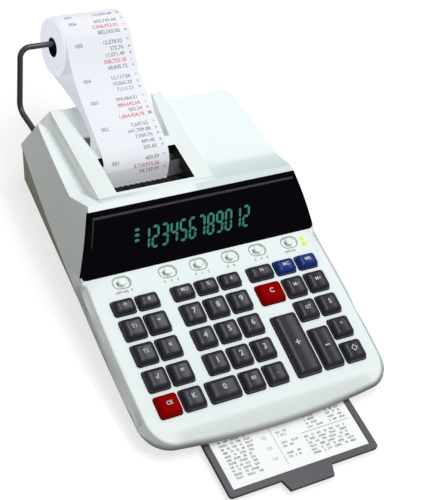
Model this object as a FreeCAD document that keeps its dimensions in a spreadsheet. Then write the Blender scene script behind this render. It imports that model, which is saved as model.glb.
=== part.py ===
"""Desk printing calculator, millimetres, +Z up, the keyboard facing -Y.

Every piece is one solid in its own node.  The driving sizes are the cells of the
sheet below.  Places are given from a datum on the desk: X = 0 is the middle of the
case, Y = 0 the middle row of keys and Z = 0 the desk top.  At the end every piece
is moved along Y by the same amount, so that the model's origin is the middle of
the whole footprint.
"""
import FreeCAD, Part
import Sketcher
import math
import os
import re
from FreeCAD import Placement, Rotation, Vector

doc = FreeCAD.newDocument("PrintingCalculator")

# Driving sizes
SIZES = [
    # case, seen from above at the joint between its halves
    ("case_half_width", 109.3), ("case_side_radius", 1900.0),
    ("case_front_y", -76.0), ("case_front_radius", 700.0),
    ("case_rear_y", 208.5), ("case_rear_radius", 3000.0),
    ("front_corner_radius", 24.0), ("rear_corner_radius", 6.0),
    # the joint between the halves is a sloping plane
    ("joint_height", 17.6), ("joint_tilt", 6.6), ("joint_step", 0.6),
    # foot of the lower case
    ("base_height", 2.0), ("base_inset", 8.0625), ("base_side_radius", 20000.0),
    ("base_side_middle_y", -1050.0), ("base_front_y", -68.5), ("base_rear_y", 207.0),
    ("base_half_width", "=case_half_width - base_inset"
                        " + base_side_middle_y ^ 2 / (2 * base_side_radius)"),
    ("wall", 2.6), ("floor_top", 7.4),
    # key deck
    ("deck_height", 24.9), ("deck_tilt", 8.1), ("deck_thick", 2.2),
    ("front_rounding", 3.4), ("side_rounding", 5.0),
    # raised rear part
    ("waist_lift", 7.0), ("waist_inset", 4.5), ("waist_side_radius", 1330.0),
    ("waist_half_width", "=case_half_width - waist_inset"),
    ("waist_front_y", -73.0), ("waist_rear_y", 207.4), ("waist_corner", 7.0),
    ("hump_height", 73.0), ("hump_inset", 17.1), ("hump_side_radius", 3100.0),
    ("hump_half_width", "=case_half_width - hump_inset"),
    ("hump_front_y", -62.0), ("hump_rear_y", 206.5), ("hump_corner", 9.0),
    ("display_foot_y", 69.4), ("display_top_y", 102.8), ("display_top_z", 71.2),
    ("display_bulge", 2.0), ("window_thick", 2.4), ("window_corner", 2.6),
    ("panel_height", 62.5), ("panel_slope_top_y", 107.5), ("panel_slope_foot_y", 128.0),
    # printer cover
    ("cover_left", -79.0), ("cover_right", 20.5), ("cover_front_y", 112.0),
    ("ridge_wall", 2.2), ("cover_gap", 0.15), ("bay_ledge", 3.0), ("bay_rear_y", 190.0),
    ("mouth_left", -63.0), ("mouth_right", 5.0), ("mouth_front_y", 115.0),
    ("mouth_rear_y", 150.0), ("trough_front_y", 160.0), ("trough_depth", 8.4),
    ("trough_spread", 8.0), ("trough_lip", 0.9), ("ramp_foot_y", 184.0),
    ("slot_rear_y", 181.0), ("gusset_reach", 9.0), ("gusset_length", 15.0),
    # keys: columns and rows are places of key middles on the deck
    ("column_1", -81.9), ("column_2", -61.5), ("column_3", -31.3), ("column_4", -10.4),
    ("column_5", 10.5), ("column_6", 38.6), ("column_7", 61.6), ("column_8", 82.5),
    ("row_1", 41.7), ("row_2", 22.9), ("row_3", 1.7), ("row_4", -19.7), ("row_5", -41.0),
    ("key_width", 18.2), ("key_depth", 17.5), ("short_key_depth", 12.6),
    ("wide_key", 22.1), ("zero_key", 26.3), ("plus_rise", 1.4), ("minus_rise", 5.2),
    ("key_height", 5.4), ("key_skirt", 3.8), ("key_draft", 9.0),
    ("key_bevel", 1.6), ("board_corner", 1.8), ("dish_radius", 42.0), ("dish_depth", 0.7), ("key_gap", 0.4),
    ("flange_drop", 2.4), ("flange_reach", 1.2), ("flange_thick", 1.2),
    ("stem_length", 1.6), ("stem_size", 5.0), ("key_travel", 2.8),
    # selector knobs
    ("knob_radius", 3.0), ("knob_height", 2.0), ("knob_row", 62.0),
    ("knob_throw", 2.5), ("knob_recess", 1.0), ("recess_radius", 4.4),
    ("knob_stem", 2.4), ("knob_plate", 1.2), ("knob_plate_width", 7.0), ("knob_play", 0.2),
    # circuit board and display tube
    ("board_drop", 8.6), ("board_thick", 1.6), ("board_post_radius", 2.6),
    ("board_inset", 11.3), ("board_left", "=board_inset - case_half_width"),
    ("board_right", "=case_half_width - board_inset"), ("board_front", -48.5),
    ("board_rear", 50.0), ("end_post_radius", 2.0), ("left_post_inset", 2.0),
    ("right_post_inset", 2.1),
    ("tube_width", 124.0), ("tube_tall", 27.0), ("tube_thick", 7.0), ("tube_gap", 0.25), ("tube_rest", 0.1),
    ("tube_middle_x", -5.0),
    # printer mechanism
    ("plate_left", -68.0), ("plate_right", 10.0), ("plate_thick", 1.6),
    ("plate_front_y", 102.5), ("plate_rear_y", 152.0), ("plate_top", 58.5),
    ("drum_y", 124.5), ("drum_z", 51.5), ("drum_radius", 9.0), ("shaft_radius", 2.0),
    ("wheel_pitch", 14.1), ("wheel_gap", 0.9), ("wheel_groove", 1.6), ("wheels", 4),
    ("ink_radius", 7.0), ("ink_angle", 6.0), ("roller_contact", 0.3),
    ("feed_y", 142.0), ("feed_z", 44.0), ("feed_radius", 6.0), ("shaft_play", 0.06),
    ("end_play", 0.3),
    ("tear_thick", 0.8), ("tear_foot_y", 133.6), ("tear_foot_z", 56.6), ("tear_lean", 21.0),
    ("tear_shoulder", 4.0), ("tear_tall", 13.0), ("tooth_pitch", 2.0), ("tooth_tall", 1.1),
    # paper
    ("paper_width", 57.0), ("paper_left", -60.5), ("paper_thick", 0.3),
    ("paper_gap", 0.3), ("roll_radius", 23.0), ("core_radius", 6.5), ("roll_left", -62.0),
    ("roll_y", 250.0), ("roll_z", 96.0),
    # wire arm that holds the roll
    ("wire_radius", 2.25), ("arm_x", -90.0), ("arm_root_x", -86.5), ("arm_tip_x", -2.0),
    ("pivot_y", 197.5), ("pivot_z", 51.5), ("pivot_leg_x", -64.0),
    ("arm_knee_y", 231.0), ("arm_knee_z", 52.0), ("arm_bend", 8.0), ("arm_fold", 35.0),
    ("lug_thick", 3.0), ("lug_size", 9.0),
    # slide-out reference tray and feet
    ("tray_half_width", 65.5), ("tray_front_y", -116.5), ("tray_length", 120.0),
    ("tray_low", 3.0), ("tray_thick", 3.0), ("tray_play", 0.3), ("tray_travel", 45.0),
    ("tray_rim", 5.2), ("tray_recess", 1.2), ("tab_half_width", 22.0), ("tab_taper", 3.0),
    ("tab_reach", 9.2), ("tray_corner", 3.0),
    ("card_thick", 0.4), ("card_play", 0.5), ("lip_width", 7.0),
    ("foot_radius", 7.0), ("foot_recess", 0.6),
    ("foot_x", 82.0), ("foot_front_y", -42.0), ("foot_rear_y", 186.0),
    ("screw_recess_radius", 3.6), ("screw_recess_depth", 2.4),
    ("screw_front_x", 82.0), ("screw_front_y", -18.0),
    ("screw_rear_x", 78.0), ("screw_rear_y", 150.0),
]

sheet = doc.addObject("Spreadsheet::Sheet", "Sizes")
for row, (alias, number) in enumerate(SIZES, start=1):
    sheet.set("A%d" % row, alias)
    sheet.set("B%d" % row, str(number))
    sheet.setAlias("B%d" % row, alias)
doc.recompute()
ALIASES = re.compile(r"\b(%s)\b" % "|".join(alias for alias, number in SIZES))


def size(alias):
    """One driving size, read back from the sheet."""
    return float(sheet.get(alias))


def bind(thing, **formulas):
    """Tie properties to the sheet; __ stands for a dot in the path of a property."""
    for name, formula in formulas.items():
        thing.setExpression(name.replace("__", "."), ALIASES.sub(r"Sizes.\1", formula))
    return thing


DECK_TILT = math.radians(size("deck_tilt"))
JOINT_TILT = math.radians(size("joint_tilt"))
TRAY_TIP = size("tray_front_y") - size("tab_reach")
ROLL_BACK = size("roll_y") + size("roll_radius") + size("paper_gap") + size("paper_thick")
FOOTPRINT_MIDDLE = (TRAY_TIP + ROLL_BACK) / 2
FAR = 300.0
wall = size("wall")
pieces = []


def keep(piece, label):
    """Name a finished piece and put it on the list of nodes."""
    piece.Label = label
    pieces.append(piece)
    return piece


def solid_piece(label, shape):
    """A piece whose shape is worked out below from the sizes of the sheet."""
    piece = doc.addObject("Part::Feature", label.title().replace("_", ""))
    piece.Shape = shape
    return keep(piece, label)


def deck_z(y):
    return size("deck_height") + y * math.tan(DECK_TILT)


def joint_z(y):
    return size("joint_height") + y * math.tan(JOINT_TILT)


def on_deck(across, along, above=0.0):
    """Placement of a point of the sloping deck, turned with it."""
    middle = Vector(across,
                    along * math.cos(DECK_TILT) - above * math.sin(DECK_TILT),
                    size("deck_height") + along * math.sin(DECK_TILT) + above * math.cos(DECK_TILT))
    return Placement(middle, Rotation(Vector(1, 0, 0), size("deck_tilt")))


# Plain shapes

def block(left, right, front, rear, low, high):
    return Part.makeBox(right - left, rear - front, high - low, Vector(left, front, low))


def rod(radius, start, end):
    start, end = Vector(*start), Vector(*end)
    return Part.makeCylinder(radius, (end - start).Length, start, end - start)


def yz_prism(points, left=-FAR, right=FAR):
    """A bar along X whose section is a closed chain of (y, z) points; four numbers
    stand for an arc, the first two its middle."""
    edges = []
    start = points[0]
    for step in points[1:] + [points[0]]:
        if len(step) == 4:
            through, end = step[:2], step[2:]
            edges.append(Part.Arc(Vector(left, *start), Vector(left, *through),
                                  Vector(left, *end)).toShape())
            start = end
        else:
            edges.append(Part.makeLine(Vector(left, *start), Vector(left, *step)))
            start = step
    return Part.Face(Part.Wire(edges)).extrude(Vector(right - left, 0, 0))


def xy_prism(points, low, high):
    """An upright block whose plan is a closed chain of (x, y) points."""
    corners = [Vector(x, y, low) for x, y in points]
    return Part.Face(Part.makePolygon(corners + corners[:1])).extrude(Vector(0, 0, high - low))


# Outlines of the case

def ring_meets(first, first_radius, second, second_radius):
    """The two points where two circles meet, the one with the smaller Y first."""
    across = second - first
    apart = across.Length
    along = (apart ** 2 + first_radius ** 2 - second_radius ** 2) / (2 * apart)
    off = math.sqrt(first_radius ** 2 - along ** 2)
    unit = across * (1 / apart)
    foot = first + unit * along
    side = Vector(-unit.y, unit.x, 0) * off
    return sorted([foot + side, foot - side], key=lambda p: p.y)


def toward(middle, point, radius):
    """The point at radius from middle, in the direction of point."""
    return middle + (point - middle).normalize() * radius


def outline(half_width, side_radius, side_y, front_y, rear_y, inset=0.0, rear_corner=None):
    """Barrel-shaped outline: four long arcs joined by four tangent corner arcs."""
    front_radius = size("case_front_radius") - inset
    rear_radius = size("case_rear_radius") - inset
    side_radius = side_radius - inset
    front_corner = size("front_corner_radius") - inset
    rear_corner = (rear_corner or size("rear_corner_radius")) - inset
    front = Vector(0, front_y + inset + front_radius, 0)
    rear = Vector(0, rear_y - inset - rear_radius, 0)
    right = Vector(half_width - inset - side_radius, side_y, 0)
    near = ring_meets(right, side_radius - front_corner, front, front_radius - front_corner)[0]
    far = ring_meets(right, side_radius - rear_corner, rear, rear_radius - rear_corner)[1]

    def flip(point):
        return Vector(-point.x, point.y, point.z)

    a = toward(front, near, front_radius)
    b = toward(right, near, side_radius)
    c = toward(right, far, side_radius)
    d = toward(rear, far, rear_radius)
    near_middle = toward(near, (a + b) * 0.5, front_corner)
    side_middle = toward(right, (b + c) * 0.5, side_radius)
    far_middle = toward(far, (c + d) * 0.5, rear_corner)
    arcs = [
        (flip(a), Vector(0, front_y + inset, 0), a), (a, near_middle, b), (b, side_middle, c),
        (c, far_middle, d), (d, Vector(0, rear_y - inset, 0), flip(d)),
        (flip(d), flip(far_middle), flip(c)), (flip(c), flip(side_middle), flip(b)),
        (flip(b), flip(near_middle), flip(a)),
    ]
    return Part.Wire([Part.Arc(*arc).toShape() for arc in arcs])


def at_level(wire, height, tilt_degrees=0.0):
    """The outline lifted onto a plane that rises towards the rear, true in plan."""
    matrix = FreeCAD.Matrix()
    matrix.A32 = math.tan(math.radians(tilt_degrees))
    matrix.A34 = height
    return wire.transformGeometry(matrix)


def joint_outline(inset=0.0, drop=0.0):
    wire = outline(size("case_half_width"), size("case_side_radius"), 0.0,
                   size("case_front_y"), size("case_rear_y"), inset)
    return at_level(wire, size("joint_height") - drop, size("joint_tilt"))


# Outer skin of the upper case, before the deck and the display are cut from it

def upper_block(inset=0.0, drop=0.0):
    waist = outline(size("waist_half_width"), size("waist_side_radius"), 0.0,
                    size("waist_front_y"), size("waist_rear_y"), inset, size("waist_corner"))
    crown = outline(size("hump_half_width"), size("hump_side_radius"), 0.0,
                    size("hump_front_y"), size("hump_rear_y"), inset, size("hump_corner"))
    levels = [joint_outline(inset, drop),
              at_level(waist, size("deck_height") + size("waist_lift"), size("deck_tilt")),
              at_level(crown, size("hump_height") + 0.5)]
    return Part.makeLoft(levels, True, False)


def display_line(inset):
    """Foot, middle and top of the display face, moved inwards by inset; the foot is
    carried on below the deck."""
    foot = Vector(0, size("display_foot_y"), deck_z(size("display_foot_y")))
    top = Vector(0, size("display_top_y"), size("display_top_z"))
    run = (top - foot).normalize()
    outward = Vector(0, -run.z, run.y)
    middle = (foot + top) * 0.5 + outward * (size("display_bulge") - inset)
    low = foot - run * 9.0 - outward * (inset + 1.2)
    high = top - outward * inset
    return (low.y, low.z), (middle.y, middle.z), (high.y, high.z), run, outward


outer = upper_block()
inner = upper_block(wall, 1.0)
below = joint_z(-FAR) - 5
deck_front = (-FAR, deck_z(-FAR))
deck_rear = (FAR, deck_z(FAR))

# key deck with its rounded shoulders
deck_block = outer.common(yz_prism([deck_front, deck_rear, (FAR, below), (-FAR, below)]))
rim = [(number, edge) for number, edge in enumerate(deck_block.Edges, start=1)
       if all(abs(v.Z - deck_z(v.Y)) < 0.01 for v in edge.Vertexes)]
deck_base = doc.addObject("Part::Feature", "DeckBlock")
deck_base.Shape = deck_block
shoulder = doc.addObject("Part::Fillet", "DeckShoulder")
shoulder.Base = deck_base


def shoulder_radius(vertex):
    """Small along the front, larger along the sides, with a change over the corners."""
    start = size("case_front_y") + 8
    share = (vertex.Y - start) / (size("front_corner_radius") - 6)
    share = min(max(share, 0.0), 1.0)
    return size("front_rounding") + share * (size("side_rounding") - size("front_rounding"))


shoulder.Edges = [(number, shoulder_radius(edge.Vertexes[0]), shoulder_radius(edge.Vertexes[-1]))
                  for number, edge in rim]
doc.recompute()
deck_slab = shoulder.Shape
print("rim edges", len(rim), "slab valid", deck_slab.isValid(), round(deck_slab.Volume))

# display face and window
out_low, out_middle, out_top, run, outward = display_line(0.0)
seat_low, seat_middle, seat_top, run, outward = display_line(size("window_thick"))
in_low, in_middle, in_top, run, outward = display_line(size("window_thick") + wall)
crest = (size("panel_slope_top_y"), size("hump_height"))
slope_foot = (size("panel_slope_foot_y"), size("panel_height"))
hump = outer.common(yz_prism([seat_low, seat_middle + seat_top, out_top, crest,
                              (FAR, size("hump_height")), (FAR, below), (seat_low[0], below)]))
window_bar = outer.common(yz_prism([out_low, out_middle + out_top, seat_top,
                                    seat_middle + seat_low]))
window_bar = window_bar.cut(yz_prism([deck_front, deck_rear, (FAR, below), (-FAR, below)]))

# rounded lower corners of the window, filled by the case
face_middle = Vector(0, size("display_foot_y"), deck_z(size("display_foot_y")))
face_turn = Rotation(Vector(1, 0, 0), Vector(0, run.y, run.z), Vector(0, outward.y, outward.z))
foot_half = size("waist_half_width") - size("display_foot_y") ** 2 / 2 / size("waist_side_radius")
cheeks = []
for side in (-1, 1):
    corner = size("window_corner")
    edge_x = side * (foot_half + 1.0)
    cheek = block(min(edge_x, edge_x - side * corner) - 4, max(edge_x, edge_x - side * corner) + 4,
                  -3, corner, -8, 8)
    cheek = cheek.cut(block(-edge_x - side * corner, edge_x - side * corner, -9, 9, -9, 9)
                      if side > 0 else block(edge_x + corner, -edge_x + corner, -9, 9, -9, 9))
    round_part = rod(corner, (edge_x - side * corner, corner, -9), (edge_x - side * corner, corner, 9))
    cheek = cheek.cut(round_part)
    cheek.Placement = Placement(face_middle, face_turn)
    cheeks.append(cheek)
cheek_fill = window_bar.common(cheeks[0].fuse(cheeks[1]))
window_shape = window_bar.cut(cheeks)
display_window = solid_piece("display_window", window_shape)

# hollow inside
roof = size("panel_height") - wall
hollow = inner.common(yz_prism([
    (-FAR, deck_z(-FAR) - size("deck_thick") / math.cos(DECK_TILT)),
    (in_low[0] + 6, deck_z(in_low[0] + 6) - size("deck_thick") / math.cos(DECK_TILT)),
    (in_top[0] - 4.5, in_top[1] - 4.5), (in_top[0] + 1.5, in_top[1] - 2.5),
    (slope_foot[0] - 2.5, roof), (FAR, roof), (FAR, below), (-FAR, below)]))
case_body = deck_slab.cut(hollow).fuse([hump.cut(hollow), cheek_fill])

# side strips and rear panel, lower than the printer cover
cover_gap = size("cover_gap")
over_panel = yz_prism([crest, slope_foot, (FAR, size("panel_height")),
                       (FAR, size("hump_height") + 5), (crest[0], size("hump_height") + 5)])
cover_left, cover_right = size("cover_left"), size("cover_right")
cover_zone = block(cover_left - cover_gap, cover_right + cover_gap,
                   size("cover_front_y") - cover_gap, FAR, size("panel_height"), FAR)
front_zone = block(cover_left - cover_gap, cover_right + cover_gap, 0,
                   size("cover_front_y"), 0, FAR)
bay = block(cover_left + size("bay_ledge"), cover_right - size("bay_ledge"),
            size("cover_front_y") + size("bay_ledge"), size("bay_rear_y"), 45, FAR)
case_body = case_body.cut([over_panel.cut(front_zone), cover_zone, bay])

# Keys: name, column formula, row formula, width formula, depth formula
ROW_NAMES = ["top", "second", "third", "fourth", "fifth"]
KEYS = []
for line, row_name in enumerate(ROW_NAMES, start=1):
    for column in range(1, 9):
        if (line > 2 and column == 6) or (line > 3 and column == 7):
            continue
        middle = "column_%d" % column
        width = "wide_key" if column == 6 else "key_width"
        if (line, column) == (5, 3):
            middle = "column_3 - (zero_key - key_width) / 2"
            width = "zero_key"
        depth = "short_key_depth" if line == 1 else "key_depth"
        KEYS.append(("key_%s_%d" % (row_name, column), middle, "row_%d" % line, width, depth))
for name, column, rise in (("plus", 6, "row_3 + plus_rise"), ("minus", 7, "row_4 + minus_rise")):
    front = "(row_5 - key_depth / 2)"
    KEYS.append(("key_" + name, "column_%d" % column, "(%s + %s) / 2" % (rise, front),
                 "wide_key" if name == "plus" else "key_width", "%s - %s" % (rise, front)))


def value(formula):
    """Work a formula out with the sheet's own numbers."""
    holder = doc.getObject("Reckoner") or doc.addObject("App::FeaturePython", "Reckoner")
    if "Result" not in holder.PropertiesList:
        holder.addProperty("App::PropertyFloat", "Result")
    bind(holder, Result=formula)
    holder.recompute()
    return holder.Result


# cut-outs of the deck
KNOBS = [-74.5, -35.1, -7.8, 21.1, 46.5, 76.9]
cuts = []
key_gap = size("key_gap")
key_places = {}
for name, middle, row, width, depth in KEYS:
    half, reach = value(width) / 2 + key_gap, value(depth) / 2 + key_gap
    key_places[name] = on_deck(value(middle), value(row))
    hole = block(-half, half, -reach, reach, -5, 5)
    hole.Placement = key_places[name]
    cuts.append(hole)
throw, recess = size("knob_throw"), size("knob_recess")
for across in KNOBS:
    pocket = rod(size("recess_radius"), (-throw, 0, -recess), (-throw, 0, 3))
    pocket = pocket.fuse([rod(size("recess_radius"), (throw, 0, -recess), (throw, 0, 3)),
                          block(-throw, throw, -size("recess_radius"), size("recess_radius"),
                                -recess, 3)]).removeSplitter()
    half = size("knob_stem") / 2 + size("knob_play")
    slit = block(-throw - half, throw + half, -half, half, -5, 0)
    pocket = pocket.fuse(slit)
    pocket.Placement = on_deck(across, size("knob_row"))
    cuts.append(pocket)

# place of the display tube behind its window
tube_gap = size("tube_gap")
face_half = (Vector(0, *out_top) - face_middle).Length / 2
bulge_there = size("display_bulge") * (1 - (size("tube_tall") / 2 / face_half) ** 2)
tube_place = Placement(
    face_middle + Vector(size("tube_middle_x"), 0, 0)
    + Vector(0, run.y, run.z) * face_half
    - outward * (size("window_thick") - bulge_there + size("tube_rest")),
    face_turn)
tube_hole = block(-size("tube_width") / 2 - tube_gap, size("tube_width") / 2 + tube_gap,
                  -size("tube_tall") / 2 - tube_gap, size("tube_tall") / 2 + tube_gap, -14, 6)
tube_hole.Placement = tube_place
cuts.append(tube_hole)

# notch at the rear corner for the wire arm
notch = size("wire_radius") + 0.6
cuts.append(block(size("arm_root_x") - notch - 1.8, size("arm_root_x") + notch, size("pivot_y"), FAR,
                  joint_z(size("case_rear_y")) - 12, size("pivot_z") + notch))
case_body = case_body.cut(cuts)

# posts for the circuit board and bearing lugs for the wire arm
END_POSTS = [(size("board_left") + size("left_post_inset"), 31.0),
             (size("board_right") - size("right_post_inset"), -32.0)]
BOARD_POSTS = [(-46.4, 31.0), (-46.4, -10.0), (23.5, 31.0), (23.5, -44.0)] + END_POSTS
fittings = []
for across, along in BOARD_POSTS:
    reach = size("end_post_radius" if (across, along) in END_POSTS else "board_post_radius")
    post = rod(reach, (0, 0, -size("board_drop")), (0, 0, -size("deck_thick") / 2))
    post.Placement = on_deck(across, along)
    fittings.append(post)
lug_half = size("lug_size") / 2
for left in (size("arm_root_x") + 7.0, size("pivot_leg_x") - 1.0 - size("lug_thick")):
    lug = block(left, left + size("lug_thick"), size("pivot_y") - lug_half,
                size("pivot_y") + lug_half, size("pivot_z") - lug_half, roof + wall / 2)
    bearing = rod(size("wire_radius") + size("shaft_play"),
                  (left - 1, size("pivot_y"), size("pivot_z")),
                  (left + 9, size("pivot_y"), size("pivot_z")))
    fittings.append(lug.cut(bearing))
case_body = case_body.fuse(fittings)
upper_case = solid_piece("upper_case", case_body)

# Lower case
base_sizes = [size(alias) for alias in ("base_half_width", "base_side_radius",
                                        "base_side_middle_y", "base_front_y", "base_rear_y")]
shell = Part.makeLoft([at_level(outline(*base_sizes), size("base_height")),
                       joint_outline(size("joint_step"))], True, True)
inside = Part.makeLoft([at_level(outline(*base_sizes, inset=wall), size("floor_top")),
                        joint_outline(wall + size("joint_step"))], True, True)
tray_half = size("tray_half_width") + size("tray_play")
tray_top = size("tray_low") + size("tray_thick") + size("tray_play")
tray_end = size("tray_front_y") + size("tray_length") + size("tray_travel") + 2
lips = tray_half - size("lip_width")
channel = [block(-tray_half, tray_half, -FAR, tray_end,
                 size("tray_low") - size("tray_play") / 2, tray_top),
           block(-lips, lips, -FAR, tray_end, 0, size("tray_low"))]
FEET = [(x, y) for x in (-size("foot_x"), size("foot_x"))
        for y in (size("foot_front_y"), size("foot_rear_y"))]
foot_seat = size("base_height") + size("foot_recess")
seats = [rod(size("foot_radius") + 0.1, (x, y, 0), (x, y, foot_seat)) for x, y in FEET]
SCREWS = [(side * size("screw_%s_x" % end), size("screw_%s_y" % end))
          for end in ("front", "rear") for side in (-1, 1)]
screws = [rod(size("screw_recess_radius"), (x, y, 0),
              (x, y, size("base_height") + size("screw_recess_depth")))
          for x, y in SCREWS]
lower_shape = shell.cut([inside] + channel + seats + screws).removeSplitter()
lower_case = solid_piece("lower_case", lower_shape)

# Printer cover: two ridges joined by a front bar, a bridge and the floor of a trough
hump_top, cover_low = size("hump_height"), size("panel_height")
cover_shape = outer.common(block(cover_left, cover_right, size("cover_front_y"), FAR,
                                 cover_low, hump_top))
mouth = [size("mouth_left"), size("mouth_right"), size("mouth_front_y"), size("mouth_rear_y")]
spread = size("trough_spread")
trough = [(mouth[0], size("trough_front_y")), (mouth[1], size("trough_front_y")),
          (mouth[1] + spread, size("case_rear_y") + 5), (mouth[0] - spread, size("case_rear_y") + 5)]
trough_floor = hump_top - size("trough_depth")
skin = size("ridge_wall")
ridge_rear = size("hump_rear_y") - 8
ramp_share = (ridge_rear - size("ramp_foot_y")) / (size("hump_rear_y") + 1 - size("ramp_foot_y"))
ramp_rear = trough_floor + ramp_share * (size("trough_depth") - size("trough_lip"))
chute = xy_prism(trough, trough_floor, hump_top + 1).common(yz_prism([
    (0, trough_floor), (size("ramp_foot_y"), trough_floor),
    (size("hump_rear_y") + 1, hump_top - size("trough_lip")), (FAR, hump_top - size("trough_lip")),
    (FAR, hump_top + 2), (0, hump_top + 2)]))
openings = [
    block(mouth[0], mouth[1], mouth[2], mouth[3], cover_low - 1, hump_top + 1),
    chute,
    block(mouth[0] + 1, mouth[1] - 1, size("trough_front_y") + skin, size("slot_rear_y"),
          cover_low - 1, hump_top),
    block(mouth[0], mouth[1], mouth[3] + skin, size("trough_front_y") - skin,
          cover_low - 1, hump_top - skin),
    xy_prism([(cover_left + skin, mouth[2]), (mouth[0] - skin, mouth[2]),
              (mouth[0] - skin, size("trough_front_y")),
              (mouth[0] - skin - spread, ridge_rear), (cover_left + skin, ridge_rear)],
             cover_low - 1, hump_top - skin),
    xy_prism([(mouth[1] + skin, mouth[2]), (cover_right - skin, mouth[2]),
              (cover_right - skin, ridge_rear), (mouth[1] + skin + spread, ridge_rear),
              (mouth[1] + skin, size("trough_front_y"))], cover_low - 1, hump_top - skin),
    yz_prism([(size("ramp_foot_y") + 1.5, cover_low - 1), (ridge_rear, cover_low - 1),
              (ridge_rear, ramp_rear - skin)], mouth[0] - spread / 3, mouth[1] + spread / 3),
]
gusset_front = ridge_rear + 8 - size("gusset_length")
gusset_rear = size("hump_rear_y")
gusset_corners = [Vector(cover_left, gusset_front, cover_low),
                  Vector(cover_left, gusset_rear, cover_low),
                  Vector(cover_left - size("gusset_reach"), gusset_rear, cover_low),
                  Vector(cover_left, gusset_rear, hump_top)]


def wedge(corners):
    """A solid with four corners and four flat faces."""
    faces = []
    for skipped in range(4):
        three = [corner for index, corner in enumerate(corners) if index != skipped]
        faces.append(Part.Face(Part.makePolygon(three + three[:1])))
    return Part.Solid(Part.Shell(faces))


cover_shape = cover_shape.cut(openings).removeSplitter()
gusset = wedge(gusset_corners).common(outer)
cover_shape = cover_shape.fuse(gusset)
printer_cover = solid_piece("printer_cover", cover_shape)


# Keys

def origin_plane(body, role):
    for feature in body.Origin.OriginFeatures:
        if feature.Role == role:
            return feature


def new_sketch(body, name, role="XY_Plane", lift=None):
    sketch = body.newObject("Sketcher::SketchObject", name)
    sketch.AttachmentSupport = [(origin_plane(body, role), "")]
    sketch.MapMode = "FlatFace"
    if lift:
        bind(sketch, AttachmentOffset__Base__z=lift)
    return sketch


def rounded_rectangle(sketch, width, depth, corner):
    """A rectangle with rounded corners about the sketch's origin, sizes by formula."""
    w, d, r = value(width) / 2, value(depth) / 2, value(corner)
    ends = [((-w + r, -d), (w - r, -d)), ((w, -d + r), (w, d - r)),
            ((w - r, d), (-w + r, d)), ((-w, d - r), (-w, -d + r))]
    for start, end in ends:
        sketch.addGeometry(Part.LineSegment(Vector(*start, 0), Vector(*end, 0)), False)
    middles = [(w - r, -d + r, 270), (w - r, d - r, 0), (-w + r, d - r, 90), (-w + r, -d + r, 180)]
    for x, y, turn in middles:
        circle = Part.Circle(Vector(x, y, 0), Vector(0, 0, 1), r)
        sketch.addGeometry(Part.ArcOfCircle(circle, math.radians(turn), math.radians(turn + 90)),
                           False)
    rules = []
    for side in range(4):
        rules.append(Sketcher.Constraint("Tangent", side, 2, side + 4, 1))
        rules.append(Sketcher.Constraint("Tangent", side + 4, 2, (side + 1) % 4, 1))
    rules += [Sketcher.Constraint("Horizontal", 0), Sketcher.Constraint("Horizontal", 2),
              Sketcher.Constraint("Vertical", 1), Sketcher.Constraint("Vertical", 3)]
    rules += [Sketcher.Constraint("Equal", 4, other) for other in (5, 6, 7)]
    rules += [Sketcher.Constraint("Symmetric", 4, 3, 6, 3, -1, 1),
              Sketcher.Constraint("DistanceX", 3, 1, 1, 1, 2 * w),
              Sketcher.Constraint("DistanceY", 0, 1, 2, 1, 2 * d),
              Sketcher.Constraint("Radius", 4, r)]
    sketch.addConstraint(rules)
    count = len(rules)
    for index, name, formula in ((count - 3, "width", width), (count - 2, "depth", depth),
                                 (count - 1, "corner", corner)):
        sketch.renameConstraint(index, name)
        bind(sketch, **{"Constraints__" + name: formula})
    return sketch


def pad(body, name, sketch, length, down=False, taper=None):
    feature = body.newObject("PartDesign::Pad", name)
    feature.Profile = sketch
    feature.Reversed = down
    bind(feature, Length=length)
    if taper:
        bind(feature, TaperAngle=taper)
    sketch.Visibility = False
    return feature


def body_box(body, kind, name, length, width, high, x, y, z):
    """A box of a body: length along X, width along Y, its lower corner at x, y, z."""
    box = body.newObject("PartDesign::%sBox" % kind, name)
    bind(box, Length=length, Width=width, Height=high,
         Placement__Base__x=x, Placement__Base__y=y, Placement__Base__z=z)
    return box


def body_rod(body, kind, name, radius, length, x, y, z, turn=None):
    rod_part = body.newObject("PartDesign::%sCylinder" % kind, name)
    if turn:
        rod_part.Placement = Placement(Vector(), turn)
    bind(rod_part, Radius=radius, Height=length,
         Placement__Base__x=x, Placement__Base__y=y, Placement__Base__z=z)
    return rod_part


ALONG_X = Rotation(Vector(0, 1, 0), 90)
ALONG_BACK = Rotation(Vector(1, 0, 0), -90)
UPRIGHT = Rotation(Vector(1, 0, 0), 90)


def key_cap(body, name, width, depth):
    """A key's top: a block whose four sides lean inwards by the draft of its mould."""
    cap = body.newObject("PartDesign::AdditiveWedge", name)
    cap.Placement = Placement(Vector(), UPRIGHT)
    lean = "key_height * tan(key_draft)"
    bind(cap, Xmin="-(%s) / 2" % width, Xmax="(%s) / 2" % width,
         Zmin="-(%s) / 2" % depth, Zmax="(%s) / 2" % depth,
         X2min="%s - (%s) / 2" % (lean, width), X2max="(%s) / 2 - %s" % (width, lean),
         Z2min="%s - (%s) / 2" % (lean, depth), Z2max="(%s) / 2 - %s" % (depth, lean),
         Ymin="0", Ymax="key_height")
    doc.recompute()
    return cap


def slanting_edges(cap):
    """The four edges that lead from the foot of the cap to its top."""
    names = []
    for number, edge in enumerate(cap.Shape.Edges, start=1):
        low, high = edge.Vertexes[0].Point, edge.Vertexes[-1].Point
        if abs(low.z - high.z) > 0.1:
            names.append("Edge%d" % number)
    return names


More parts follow.
